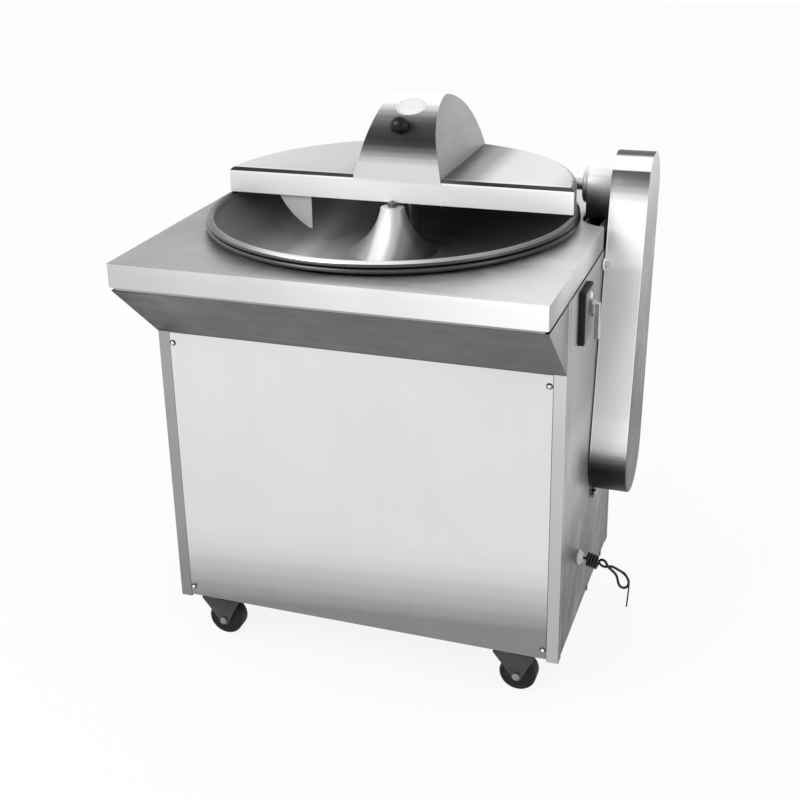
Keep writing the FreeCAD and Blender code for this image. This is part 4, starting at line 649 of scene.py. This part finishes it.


# %% [markdown]
# ## Table, cabinet and drive
# These pieces keep the shapes of the CAD model. What changes from one to the next is the width of the bevel:
# folded sheet gets about a millimetre, machined parts half of that. A piece whose faces catch the light
# differently gets a finish for each face, chosen by the way the face points and by where it lies, before
# anything turns it. Those face finishes are lit and shaded copies of one steel or plastic: painted
# reflection, painted highlight and painted shade.

# %% Pieces that follow the CAD model closely
REFINED = {
    "table_top": ("table", 0.0018, 3), "table_frame": ("frame", 0.0008, 2),
    "cornice_panels": ("slope", 0.0005, 2), "corner_posts": ("post", 0.0014, 3),
    "front_panel": ("front", 0.0005, 2), "back_panel": ("front", 0.0005, 2),
    "left_panel": ("side", 0.0005, 2), "right_panel": ("side", 0.0005, 2),
    "base_rails": ("frame", 0.0008, 2), "motor_rails": ("frame", 0.0008, 2), "top_rails": ("frame", 0.0008, 2),
    "spindle_plate": ("frame", 0.0008, 2), "motor_base_plate": ("frame", 0.0008, 2),
    "caster_plates": ("frame", 0.0006, 2), "guard_back_plate": ("guard_wall", 0.0005, 2),
    "belt_guard": ("guard_wall", 0.0004, 2), "hinge_leaves": ("table", 0.0006, 2),
    "hinge_brackets": ("table", 0.0006, 2), "scraper_plate": ("plate", 0.0003, 2),
    "bowl_spindle": ("turned", 0.0005, 2), "bowl_nut": ("nut", 0.0005, 3),
    "knife_shaft": ("turned", 0.0005, 2), "knife_spacers": ("turned", 0.0005, 2),
    "knife_nut": ("turned", 0.0006, 2), "motor_shaft": ("turned", 0.0005, 2),
    "ball_bearings": ("turned", 0.0005, 2), "knife_pulley": ("iron", 0.0005, 2),
    "motor_pulley": ("iron", 0.0005, 2), "spindle_housing": ("iron", 0.0008, 2),
    "drive_belts": ("belt", 0.0005, 2), "gearbox": ("paint", 0.002, 3), "bowl_motor": ("paint", 0.0008, 2),
    "knife_motor": ("paint", 0.001, 2), "bearing_housing": ("housing", 0.0015, 3),
    "housing_cap": ("housing", 0.001, 3), "cover_knob": ("gloss_black", 0.0006, 2),
    "switch_box": ("black_plastic", 0.0012, 3), "switch_faceplate": ("grey_plastic", 0.0006, 2),
    "start_button": ("white_plastic", 0.0005, 2), "selector_knob": ("grey_plastic", 0.0008, 3),
    "cable_gland": ("pale_plastic", 0.0006, 2), "guard_screws": ("turned", 0.0003, 2),
}
for blade in (1, 2, 3):
    REFINED[f"knife_blade_{blade}"] = ("knife", 0.0003, 2)
for corner in ("front_left", "front_right", "rear_left", "rear_right"):
    REFINED["caster_fork_" + corner] = ("black_paint", 0.0006, 2)
    REFINED["caster_wheel_" + corner] = ("tread", 0.001, 3)
PIECES = {node_name: refined(node_name, *look) for node_name, look in REFINED.items()}
print("refined", len(PIECES))


# %% Finishes face by face
def finish_faces(piece, rules):
    """Gives each face the finish of the first rule that its normal and centre fit."""
    mesh = piece.data
    for finish, _ in rules:
        mesh.materials.append(FINISH[finish])
    for face in mesh.polygons:
        for slot, (_, fits) in enumerate(rules, start=1):
            if fits(face.normal, face.center):
                face.material_index = slot
                break


# Table top: the front edge and the right edge take their own painted reflection tones
finish_faces(PIECES["table_top"], [
    ("table_front", lambda normal, place: normal.y < -0.7),
    ("table_side", lambda normal, place: normal.x > 0.7),
])
# Cornice: its right end takes its own painted shade
finish_faces(PIECES["cornice_panels"], [("slope_end", lambda normal, place: normal.x > 0.7)])
# Posts: the left post takes a darker painted shade, and the right faces take the side sheets' painted shade
finish_faces(PIECES["corner_posts"], [
    ("left_post", lambda normal, place: place.x < 0),
    ("side", lambda normal, place: normal.x > 0.7),
])
# Belt guard: the outer face takes a painted shade, darker towards the bottom
finish_faces(PIECES["belt_guard"], [("guard_face", lambda normal, place: normal.x > 0.7)])
# Scraper plate: its edges are painted near-black, a painted shade outline
finish_faces(PIECES["scraper_plate"], [("plate_edge", lambda normal, place: abs(normal.y) < 0.6)])
# Selector knob: faces pointing out and up take the pale plastic as a painted highlight, faces pointing back and
# down the near-black plastic as painted shade
finish_faces(PIECES["selector_knob"], [
    ("pale_plastic", lambda normal, place: normal.x > 0.7 or normal.z > 0.7),
    ("painted_shade_plastic", lambda normal, place: normal.y > 0.3 or normal.z < -0.5),
])
print("faces finished on", [name for name, piece in PIECES.items() if len(piece.data.materials) > 1])

# %% [markdown]
# ## Hood
# The hood is a half disc with a folded skirt in front, and a tall arch over the knives. Its left side leans
# and runs into the crest in a soft bend, which is too wide for the bevel that the other folds get. So the
# edges between the leaning side and the crest are found by their two faces and rounded first, on the outer
# and the inner skin alike, and the rest is beveled as before.

# %% Hood with a soft left crest
CREST_ROUND = 0.008
ARCH_FOOT = TABLE + 0.06
PLATE_LEVEL = TABLE + 0.069
ARCH_RIGHT = BOWL_X + 0.081
ARCH_LEFT = BOWL_X - 0.071


def leans(face):
    return 0.6 < abs(face.normal.x) < 0.97 and abs(face.normal.y) < 0.1


def crest_edges(shape):
    chosen = []
    for edge in shape.edges:
        if len(edge.link_faces) == 2 and min(vert.co.z for vert in edge.verts) > PLATE_LEVEL + 0.01:
            sides = [leans(face) for face in edge.link_faces]
            if sides.count(True) == 1:
                chosen.append(edge)
    return chosen


def hood():
    mesh, shape = merged_copy("bowl_cover")
    edges = crest_edges(shape)
    bmesh.ops.bevel(shape, geom=edges, offset=CREST_ROUND, segments=5, profile=0.5, affect="EDGES",
                    clamp_overlap=True)
    shape.to_mesh(mesh)
    shape.free()
    piece = new_piece("bowl_cover_dressed", mesh)
    soften(piece, 0.0006, 2)
    return finish_piece(piece, ["bowl_cover"], "hood"), len(edges)


def in_arch(place):
    return ARCH_LEFT - 0.001 < place.x < ARCH_RIGHT + 0.001


cover, rounded = hood()
# Hood faces: the arch's leaning left side and front take painted reflection bands, the arch's right side painted
# shade, the fold a dark painted reflection line and the skirt a near-white painted reflection
finish_faces(cover, [
    ("brow_edge", lambda normal, place: normal.x < -0.22 and place.z > PLATE_LEVEL + 0.001
        and in_arch(place)),
    ("brow", lambda normal, place: abs(normal.x) < 0.35 and in_arch(place) and place.z > ARCH_FOOT
        and (normal.z < 0.98 or place.z > PLATE_LEVEL + 0.01) and (normal.y < -0.05 or normal.z > 0.3)),
    ("arch_side", lambda normal, place: normal.x > 0.7 and place.z > PLATE_LEVEL + 0.001
        and place.x > ARCH_RIGHT - 0.001),
    ("hood_bend", lambda normal, place: 0.35 < normal.z < 0.97 and ARCH_FOOT - 0.004 < place.z),
    ("skirt", lambda normal, place: normal.y < -0.5),
])
print("crest edges rounded", rounded, "hood faces", len(cover.data.polygons))

# %% [markdown]
# ## Bare disc on the brow
# An oval disc sits on the rounded brow of the arch. It follows the brow's curve, so it is built in the
# brow's own measures: one along the machine's X, one along the arc. It has a raised border and a plain
# middle.

# %% Disc
BROW_RADIUS = 0.058
BROW_Y, BROW_Z = 0.042, TABLE + 0.146
DISC_X = BOWL_X + 0.0342
DISC_ANGLE = math.radians(131)
DISC_TILT = math.radians(8)
DISC_WIDE, DISC_TALL = 0.0255, 0.0175
DISC_RINGS = [(0.0, 0.0011), (0.5, 0.0011), (0.83, 0.0010), (0.86, 0.0003), (0.89, 0.0018), (0.95, 0.0019),
              (1.0, 0.0009), (1.0, -0.0004)]
DISC_STEPS = 64


def on_brow(across, along, height):
    across, along = (across * math.cos(DISC_TILT) - along * math.sin(DISC_TILT),
                     across * math.sin(DISC_TILT) + along * math.cos(DISC_TILT))
    angle = DISC_ANGLE - along / BROW_RADIUS
    reach = BROW_RADIUS + height
    return (DISC_X + across, BROW_Y + reach * math.cos(angle), BROW_Z + reach * math.sin(angle))


def bare_disc():
    shape = bmesh.new()
    middle = shape.verts.new(on_brow(0, 0, DISC_RINGS[0][1]))
    inner = None
    for share, height in DISC_RINGS[1:]:
        ring = []
        for step in range(DISC_STEPS):
            turn = 2 * math.pi * step / DISC_STEPS
            ring.append(shape.verts.new(on_brow(share * DISC_WIDE * math.cos(turn),
                                                share * DISC_TALL * math.sin(turn), height)))
        for here in range(DISC_STEPS):
            following = (here + 1) % DISC_STEPS
            if inner is None:
                shape.faces.new((middle, ring[here], ring[following]))
            else:
                shape.faces.new((inner[here], ring[here], ring[following], inner[following]))
        inner = ring
    shape.faces.new(reversed(inner))
    bmesh.ops.recalc_face_normals(shape, faces=shape.faces)
    mesh = bpy.data.meshes.new("brow_disc")
    shape.to_mesh(mesh)
    shape.free()
    mesh.polygons.foreach_set("use_smooth", [True] * len(mesh.polygons))
    mesh.set_sharp_from_angle(angle=SHARP)
    mesh.materials.append(FINISH["badge"])
    piece = new_piece("brow_disc", mesh)
    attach(piece, BODY_OF["bowl_cover"])
    return piece


print("disc faces", len(bare_disc().data.polygons))

# %% [markdown]
# ## Bowl
# A spun bowl is the same all the way round, so it is one outline carried along a ring: Geometry Nodes turn
# the outline into a curve and sweep it along a circle with Curve to Mesh. The outline is the CAD one, with
# its arcs drawn by formula: a cone in the middle, a trough round it, a rolled rim and a bead under the rim.

# %% Outline of the bowl
RIM, ROLL, BEAD, BEAD_LEVEL = 0.294, 0.0075, 0.004, 0.0095
RIM_LEVEL, CONE_LEVEL, CONE_RADIUS = 0.024, 0.021, 0.0197
TROUGH, TROUGH_LEVEL, FLANK, WALL = 0.155, -0.064, 0.105, 0.003
HUB_LEVEL, BORE = -0.01, 0.00505
ARC_STEP = math.radians(3)


def arc_points(first, last, radius):
    """Points from first up to last on an arc, whose centre lies to the left for a positive radius."""
    first, last = Vector(first), Vector(last)
    chord = last - first
    side = Vector((-chord.y, chord.x)).normalized() * math.copysign(1, radius)
    centre = (first + last) / 2 + side * math.sqrt(max(radius * radius - chord.length_squared / 4, 0))
    start = math.atan2(first.y - centre.y, first.x - centre.x)
    turn = math.atan2(last.y - centre.y, last.x - centre.x) - start
    turn = turn % (2 * math.pi) if radius > 0 else -((-turn) % (2 * math.pi))
    steps = max(2, math.ceil(abs(turn) / ARC_STEP))
    return [(centre.x + abs(radius) * math.cos(start + turn * step / steps),
             centre.y + abs(radius) * math.sin(start + turn * step / steps)) for step in range(steps)]


def bowl_outline():
    run, rise = RIM - TROUGH, -TROUGH_LEVEL + RIM_LEVEL - ROLL
    trough_arc = (run * run + rise * rise) / (2 * rise)
    inner_ring = CONE_RADIUS + math.sqrt(FLANK ** 2 - (CONE_LEVEL - TROUGH_LEVEL - FLANK) ** 2)
    roll_level = RIM_LEVEL - ROLL
    outside = RIM + 2 * ROLL
    bead_axis = outside - BEAD + 0.001
    wall_end = BEAD_LEVEL + 0.002
    shell = trough_arc + WALL
    wall_radius = TROUGH + math.sqrt(shell ** 2 - (wall_end - TROUGH_LEVEL - trough_arc) ** 2)
    thick = FLANK + WALL
    hub_radius = inner_ring - math.sqrt(thick ** 2 - (HUB_LEVEL - TROUGH_LEVEL - FLANK) ** 2)
    corners = [
        (BORE, CONE_LEVEL), (CONE_RADIUS, CONE_LEVEL, FLANK), (inner_ring, TROUGH_LEVEL),
        (TROUGH, TROUGH_LEVEL, trough_arc), (RIM, roll_level, -ROLL), (RIM + ROLL, RIM_LEVEL, -ROLL),
        (outside, roll_level), (bead_axis, BEAD_LEVEL + BEAD, -BEAD), (bead_axis + BEAD, BEAD_LEVEL, -BEAD),
        (bead_axis, BEAD_LEVEL - BEAD), (bead_axis - BEAD, BEAD_LEVEL - BEAD), (bead_axis - BEAD, wall_end),
        (wall_radius, wall_end, -shell), (TROUGH, TROUGH_LEVEL - WALL),
        (inner_ring, TROUGH_LEVEL - WALL, -thick),
        (hub_radius, HUB_LEVEL), (BORE, HUB_LEVEL),
    ]
    points = []
    for here, corner in enumerate(corners):
        following = corners[(here + 1) % len(corners)]
        points += arc_points(corner[:2], following[:2], corner[2]) if len(corner) == 3 else [corner]
    return points


# %% Node tree that carries an outline round a ring
def socket_named(tree, label):
    return next(item.identifier for item in tree.interface.items_tree if item.name == label)


def ring_tree():
    tree = bpy.data.node_groups.new("outline_round_ring", "GeometryNodeTree")
    tree.interface.new_socket("Outline", in_out="INPUT", socket_type="NodeSocketGeometry")
    for label, kind, value in (("Ring Radius", "NodeSocketFloat", 0.2), ("Segments", "NodeSocketInt", 192),
                               ("Centre", "NodeSocketVector", (0, 0, 0))):
        tree.interface.new_socket(label, in_out="INPUT", socket_type=kind).default_value = value
    tree.interface.new_socket("Finish", in_out="INPUT", socket_type="NodeSocketMaterial")
    tree.interface.new_socket("Turned", in_out="OUTPUT", socket_type="NodeSocketGeometry")
    given, result = tree.nodes.new("NodeGroupInput"), tree.nodes.new("NodeGroupOutput")
    outline = tree.nodes.new("GeometryNodeMeshToCurve")
    ring = tree.nodes.new("GeometryNodeCurvePrimitiveCircle")
    sweep = tree.nodes.new("GeometryNodeCurveToMesh")
    moved = tree.nodes.new("GeometryNodeTransform")
    real = tree.nodes.new("GeometryNodeRealizeInstances")
    finish = tree.nodes.new("GeometryNodeSetMaterial")
    link(tree, given.outputs["Outline"], outline.inputs["Mesh"])
    link(tree, given.outputs["Segments"], ring.inputs["Resolution"])
    link(tree, given.outputs["Ring Radius"], ring.inputs["Radius"])
    link(tree, ring.outputs["Curve"], sweep.inputs["Curve"])
    link(tree, outline.outputs["Curve"], sweep.inputs["Profile Curve"])
    link(tree, sweep.outputs["Mesh"], moved.inputs["Geometry"])
    link(tree, given.outputs["Centre"], moved.inputs["Translation"])
    link(tree, moved.outputs["Geometry"], real.inputs["Geometry"])
    link(tree, real.outputs["Geometry"], finish.inputs["Geometry"])
    link(tree, given.outputs["Finish"], finish.inputs["Material"])
    link(tree, finish.outputs["Geometry"], result.inputs["Turned"])
    return tree


RING_RADIUS = 0.2


def turned_bowl():
    outline = [(radius - RING_RADIUS, -level, 0) for radius, level in bowl_outline()]
    mesh = bpy.data.meshes.new("bowl_outline")
    mesh.from_pydata(outline, [(here, (here + 1) % len(outline)) for here in range(len(outline))], [])
    piece = new_piece("bowl_dressed", mesh)
    modifier = piece.modifiers.new("turned", "NODES")
    modifier.node_group = ring_tree()
    for label, value in (("Ring Radius", RING_RADIUS), ("Segments", 192), ("Centre", (BOWL_X, 0, TABLE)),
                         ("Finish", FINISH["bowl"])):
        modifier[socket_named(modifier.node_group, label)] = value
    plain_mesh(piece)
    shape = bmesh.new()
    shape.from_mesh(piece.data)
    bmesh.ops.remove_doubles(shape, verts=shape.verts, dist=1e-6)
    bmesh.ops.recalc_face_normals(shape, faces=shape.faces)
    shape.to_mesh(piece.data)
    shape.free()
    piece.data.polygons.foreach_set("use_smooth", [True] * len(piece.data.polygons))
    piece.data.set_sharp_from_angle(angle=SHARP)
    return finish_piece(piece, ["bowl"], "bowl")


def from_axis(place):
    return math.hypot(place.x - BOWL_X, place.y)


bowl = turned_bowl()
CONE_FOOT = 0.075
# Bowl faces: the cone takes a painted highlight band, the rim top a painted highlight and the rim's outer wall
# painted shade
finish_faces(bowl, [
    ("cone", lambda normal, place: from_axis(place) < CONE_FOOT and normal.z > 0),
    ("rim", lambda normal, place: from_axis(place) > RIM - 0.001 and place.z > TABLE + RIM_LEVEL - 0.0035),
    ("rim_side", lambda normal, place: from_axis(place) > RIM + ROLL),
])
print("bowl faces", len(bowl.data.polygons), "box", [round(value, 3) for value in bowl.dimensions])

# %% [markdown]
# ## Screws of the panels
# The panels hang on domed screws in cup washers. The washer is painted near-black as painted shade and the
# dome near-white as a painted highlight. All are the same, so Geometry Nodes put one washer and dome on each
# point, turned to the way its panel faces. The points are the middles of the CAD screws, one for each
# separate lump of that mesh.

# %% Points where the screws sit
SCREW_OUT, SCREW_UP, SCREW_DOWN, SIDE_SCREW_DOWN = 0.008, 0.003, 0.005, 0.009
BOLT_ZONE, BOLT_HEIGHT, BOLT_RADIUS = 0.014, 0.005, 0.0065


def lumps(mesh):
    """Boxes round the separate lumps of a mesh, as (low, high) corners."""
    shape = bmesh.new()
    shape.from_mesh(mesh)
    bmesh.ops.remove_doubles(shape, verts=shape.verts, dist=1e-6)
    left = set(shape.verts)
    boxes = []
    while left:
        group, ahead = set(), [left.pop()]
        while ahead:
            vert = ahead.pop()
            group.add(vert)
            for edge in vert.link_edges:
                other = edge.other_vert(vert)
                if other in left:
                    left.discard(other)
                    ahead.append(other)
        boxes.append((Vector([min(vert.co[axis] for vert in group) for axis in range(3)]),
                      Vector([max(vert.co[axis] for vert in group) for axis in range(3)])))
    shape.free()
    return boxes


def screw_seats(mesh):
    """The seat of each screw on its panel and the way it faces."""
    seats = []
    for low, high in lumps(mesh):
        size = high - low
        axis = min(range(3), key=lambda number: size[number])
        middle = (low + high) / 2
        away = Vector((0, 0, 0))
        aside = middle - (CABINET_LOW + CABINET_HIGH) / 2
        away[axis] = math.copysign(1, aside[axis])
        seat = middle - away * size[axis] / 2
        if axis == 1:
            seat.x += math.copysign(SCREW_OUT, aside.x)
            seat.z += SCREW_UP if aside.z < 0 else -SCREW_DOWN
        elif away.x > 0:
            seat.z -= SIDE_SCREW_DOWN
        seats.append((seat, away, size[axis], max(size) / 2))
    return seats


def caster_bolt_seats(corner):
    """The two ends of a caster's axle, on the outer faces of its fork."""
    low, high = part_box("caster_wheel_" + corner)
    axle = (low + high) / 2
    axis = min(range(3), key=lambda number: high[number] - low[number])
    along = Vector([float(number == axis) for number in range(3)])
    faces = [vert.co[axis] for vert in NODES["caster_fork_" + corner].data.vertices
             if (vert.co - axle).cross(along).length < BOLT_ZONE]
    seats = []
    for side, level in ((-1, min(faces)), (1, max(faces))):
        seat = axle.copy()
        seat[axis] = level
        seats.append((seat, along * side, BOLT_HEIGHT, BOLT_RADIUS))
    return seats


# %% Node tree that sets a screw on each point
def screw_tree():
    tree = bpy.data.node_groups.new("screws_on_points", "GeometryNodeTree")
    tree.interface.new_socket("Points", in_out="INPUT", socket_type="NodeSocketGeometry")
    for label, value in (("Radius", 0.005), ("Height", 0.003)):
        tree.interface.new_socket(label, in_out="INPUT", socket_type="NodeSocketFloat").default_value = value
    for label in ("Washer", "Dome"):
        tree.interface.new_socket(label, in_out="INPUT", socket_type="NodeSocketMaterial")
    tree.interface.new_socket("Screws", in_out="OUTPUT", socket_type="NodeSocketGeometry")
    given, result = tree.nodes.new("NodeGroupInput"), tree.nodes.new("NodeGroupOutput")

    def share(label, factor):
        made = node(tree, "ShaderNodeMath", operation="MULTIPLY")
        link(tree, given.outputs[label], made.inputs[0])
        made.inputs[1].default_value = factor
        return made.outputs[0]

    def lifted(geometry, level):
        offset = tree.nodes.new("ShaderNodeCombineXYZ")
        link(tree, level, offset.inputs["Z"])
        moved = tree.nodes.new("GeometryNodeTransform")
        link(tree, geometry, moved.inputs["Geometry"])
        link(tree, offset.outputs[0], moved.inputs["Translation"])
        return moved

    def painted(geometry, label):
        made = tree.nodes.new("GeometryNodeSetMaterial")
        link(tree, geometry, made.inputs["Geometry"])
        link(tree, given.outputs[label], made.inputs["Material"])
        return made.outputs["Geometry"]

    washer = tree.nodes.new("GeometryNodeMeshCone")
    washer.inputs["Vertices"].default_value = 32
    link(tree, share("Radius", 0.72), washer.inputs["Radius Top"])
    link(tree, given.outputs["Radius"], washer.inputs["Radius Bottom"])
    link(tree, share("Height", 0.45), washer.inputs["Depth"])
    dome = tree.nodes.new("GeometryNodeMeshUVSphere")
    dome.inputs["Segments"].default_value = 24
    dome.inputs["Rings"].default_value = 12
    link(tree, share("Radius", 0.6), dome.inputs["Radius"])
    flat = lifted(dome.outputs["Mesh"], share("Height", 0.45))
    squash = tree.nodes.new("GeometryNodeTransform")
    squash.inputs["Scale"].default_value = (1, 1, 0.5)
    link(tree, dome.outputs["Mesh"], squash.inputs["Geometry"])
    link(tree, squash.outputs["Geometry"], flat.inputs["Geometry"])
    both = tree.nodes.new("GeometryNodeJoinGeometry")
    link(tree, painted(washer.outputs["Mesh"], "Washer"), both.inputs["Geometry"])
    link(tree, painted(flat.outputs["Geometry"], "Dome"), both.inputs["Geometry"])
    facing = tree.nodes.new("GeometryNodeInputNamedAttribute")
    facing.data_type = "FLOAT_VECTOR"
    facing.inputs["Name"].default_value = "facing"
    turned = tree.nodes.new("FunctionNodeAlignRotationToVector")
    turned.axis = "Z"
    link(tree, facing.outputs["Attribute"], turned.inputs["Vector"])
    spread = tree.nodes.new("GeometryNodeInstanceOnPoints")
    link(tree, given.outputs["Points"], spread.inputs["Points"])
    link(tree, both.outputs["Geometry"], spread.inputs["Instance"])
    link(tree, turned.outputs["Rotation"], spread.inputs["Rotation"])
    real = tree.nodes.new("GeometryNodeRealizeInstances")
    link(tree, spread.outputs["Instances"], real.inputs["Geometry"])
    link(tree, real.outputs["Geometry"], result.inputs["Screws"])
    return tree


def set_screws(name, seats, washer, dome, carrier):
    mesh = bpy.data.meshes.new(name + "_seats")
    mesh.from_pydata([seat for seat, _, _, _ in seats], [], [])
    facing = mesh.attributes.new("facing", "FLOAT_VECTOR", "POINT")
    facing.data.foreach_set("vector", [value for _, away, _, _ in seats for value in away])
    piece = new_piece(name, mesh)
    modifier = piece.modifiers.new("screws", "NODES")
    modifier.node_group = SCREWS
    for label, value in (("Radius", seats[0][3]), ("Height", seats[0][2]), ("Washer", FINISH[washer]),
                         ("Dome", FINISH[dome])):
        modifier[socket_named(SCREWS, label)] = value
    plain_mesh(piece)
    piece.data.polygons.foreach_set("use_smooth", [True] * len(piece.data.polygons))
    piece.data.set_sharp_from_angle(angle=SHARP)
    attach(piece, BODY_OF[carrier])
    return piece


SCREWS = screw_tree()
panel_seats = screw_seats(NODES["panel_screws"].data)
screws = set_screws("panel_screws_dressed", panel_seats, "screw_ring", "screw_dome", "panel_screws")
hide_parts("panel_screws")
for corner in ("front_left", "front_right", "rear_left", "rear_right"):
    set_screws("caster_bolt_" + corner, caster_bolt_seats(corner), "bolt", "bolt", "caster_fork_" + corner)
print("screws", len(panel_seats), "faces", len(screws.data.polygons))

# %% [markdown]
# ## Mains cord
# The cord hangs from its gland as a small bundle: a short lead, two strands that twist round each other, a
# loop at the far end and a little over four turns wrapped round the strands near the gland. A thin tie
# hangs from the bundle's end. Both are one smooth spline each, with listed points, and only the
# wrapped turns and the twist are worked out. A black sheath of this size is limp.

# %% Route of the cord
GLAND_LOW, GLAND_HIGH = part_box("cable_gland")
MOUTH = Vector((GLAND_HIGH.x, (GLAND_LOW.y + GLAND_HIGH.y) / 2, (GLAND_LOW.z + GLAND_HIGH.z) / 2))
CORD_RADIUS = 0.0022
TIE_RADIUS = 0.0013
BUNDLE_SLOPE = math.radians(14)
ALONG_BUNDLE = Vector((math.cos(BUNDLE_SLOPE), 0, -math.sin(BUNDLE_SLOPE)))
UP_BUNDLE = Vector((math.sin(BUNDLE_SLOPE), 0, math.cos(BUNDLE_SLOPE)))
BUNDLE_START = Vector((0.003, 0, 0))
STRAND_REACH = 0.0029
TWIST_LENGTH = 0.03
WRAP_REACH = 0.0102
WRAP_PITCH = 0.005
WRAP_TURNS = 4.25
POINTS_PER_TURN = 14


def in_bundle(along, reach, turn):
    """A point of the bundle: so far along it, so far from its middle, at that turn about it."""
    return (BUNDLE_START + ALONG_BUNDLE * along + UP_BUNDLE * (reach * math.sin(turn))
            + Vector((0, reach * math.cos(turn), 0)))


def twist_turn(along):
    return math.pi / 2 + 2 * math.pi * (along - 0.05) / TWIST_LENGTH


def cord_route():
    points = [Vector((0, 0, 0)), Vector((0.0015, 0, 0)), Vector((0.003, 0, 0))]
    for along in (0.006, 0.012, 0.019, 0.026, 0.032, 0.038, 0.044, 0.05):
        reach = STRAND_REACH * min(1, along / 0.014)
        points.append(in_bundle(along, reach, twist_turn(along)))
    points += [Vector(point) for point in (
        (0.0585, 0.001, -0.0130), (0.0655, 0.0005, -0.0160), (0.0718, -0.0005, -0.0205),
        (0.0765, -0.0015, -0.0270), (0.0780, -0.002, -0.0345), (0.0755, -0.0025, -0.0415),
        (0.0692, -0.003, -0.0445), (0.0628, -0.003, -0.0415), (0.0598, -0.0025, -0.0345),
        (0.0585, -0.002, -0.0270), (0.0550, -0.001, -0.0205),
    )]
    for along in (0.046, 0.041, 0.036, 0.032):
        reach = STRAND_REACH if along > 0.04 else STRAND_REACH + (0.041 - along) * 0.5
        points.append(in_bundle(along, reach, twist_turn(along) + math.pi))
    turn = twist_turn(0.032) + math.pi
    along = 0.0275
    for step in range(1, int(WRAP_TURNS * POINTS_PER_TURN) + 1):
        turn -= 2 * math.pi / POINTS_PER_TURN
        reach = WRAP_REACH - max(0, 4 - step) * 0.0008 + 0.0008 * math.sin(step * 0.9)
        along -= WRAP_PITCH / POINTS_PER_TURN if step > 3 else 0.0016
        points.append(in_bundle(along, reach, turn))
    return points


# The tie: the hanging end of the CAD model, brought a little to the front of the loop
TIE_POINTS = [(0.0673, 0, -0.0151), (0.0745, -0.004, -0.0175), (0.0790, -0.0065, -0.031),
              (0.0785, -0.006, -0.047), (0.076, -0.003, -0.079)]


def smooth_cord(name, points, radius):
    data = bpy.data.curves.new(name, "CURVE")
    data.dimensions = "3D"
    data.resolution_u = 8
    data.bevel_depth = radius
    data.bevel_resolution = 4
    data.use_fill_caps = True
    spline = data.splines.new("NURBS")
    spline.points.add(len(points) - 1)
    for point, place in zip(spline.points, points):
        point.co = (*(MOUTH + Vector(place)), 1)
    spline.order_u = 3
    spline.use_endpoint_u = True
    data.materials.append(FINISH["cord"])
    return new_piece(name, data)


def route_length(points):
    return sum((Vector(second) - Vector(first)).length for first, second in zip(points, points[1:]))


cord = smooth_cord("mains_cord", cord_route(), CORD_RADIUS)
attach(cord, BODY_OF["cord_lead"])
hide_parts("cord_lead", "cord_hank")
tie = smooth_cord("cord_tie", TIE_POINTS, TIE_RADIUS)
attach(tie, BODY_OF["cord_tail"])
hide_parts("cord_tail")
print(f"cord {route_length(cord_route()):.3f} m, tie {route_length(TIE_POINTS):.3f} m")
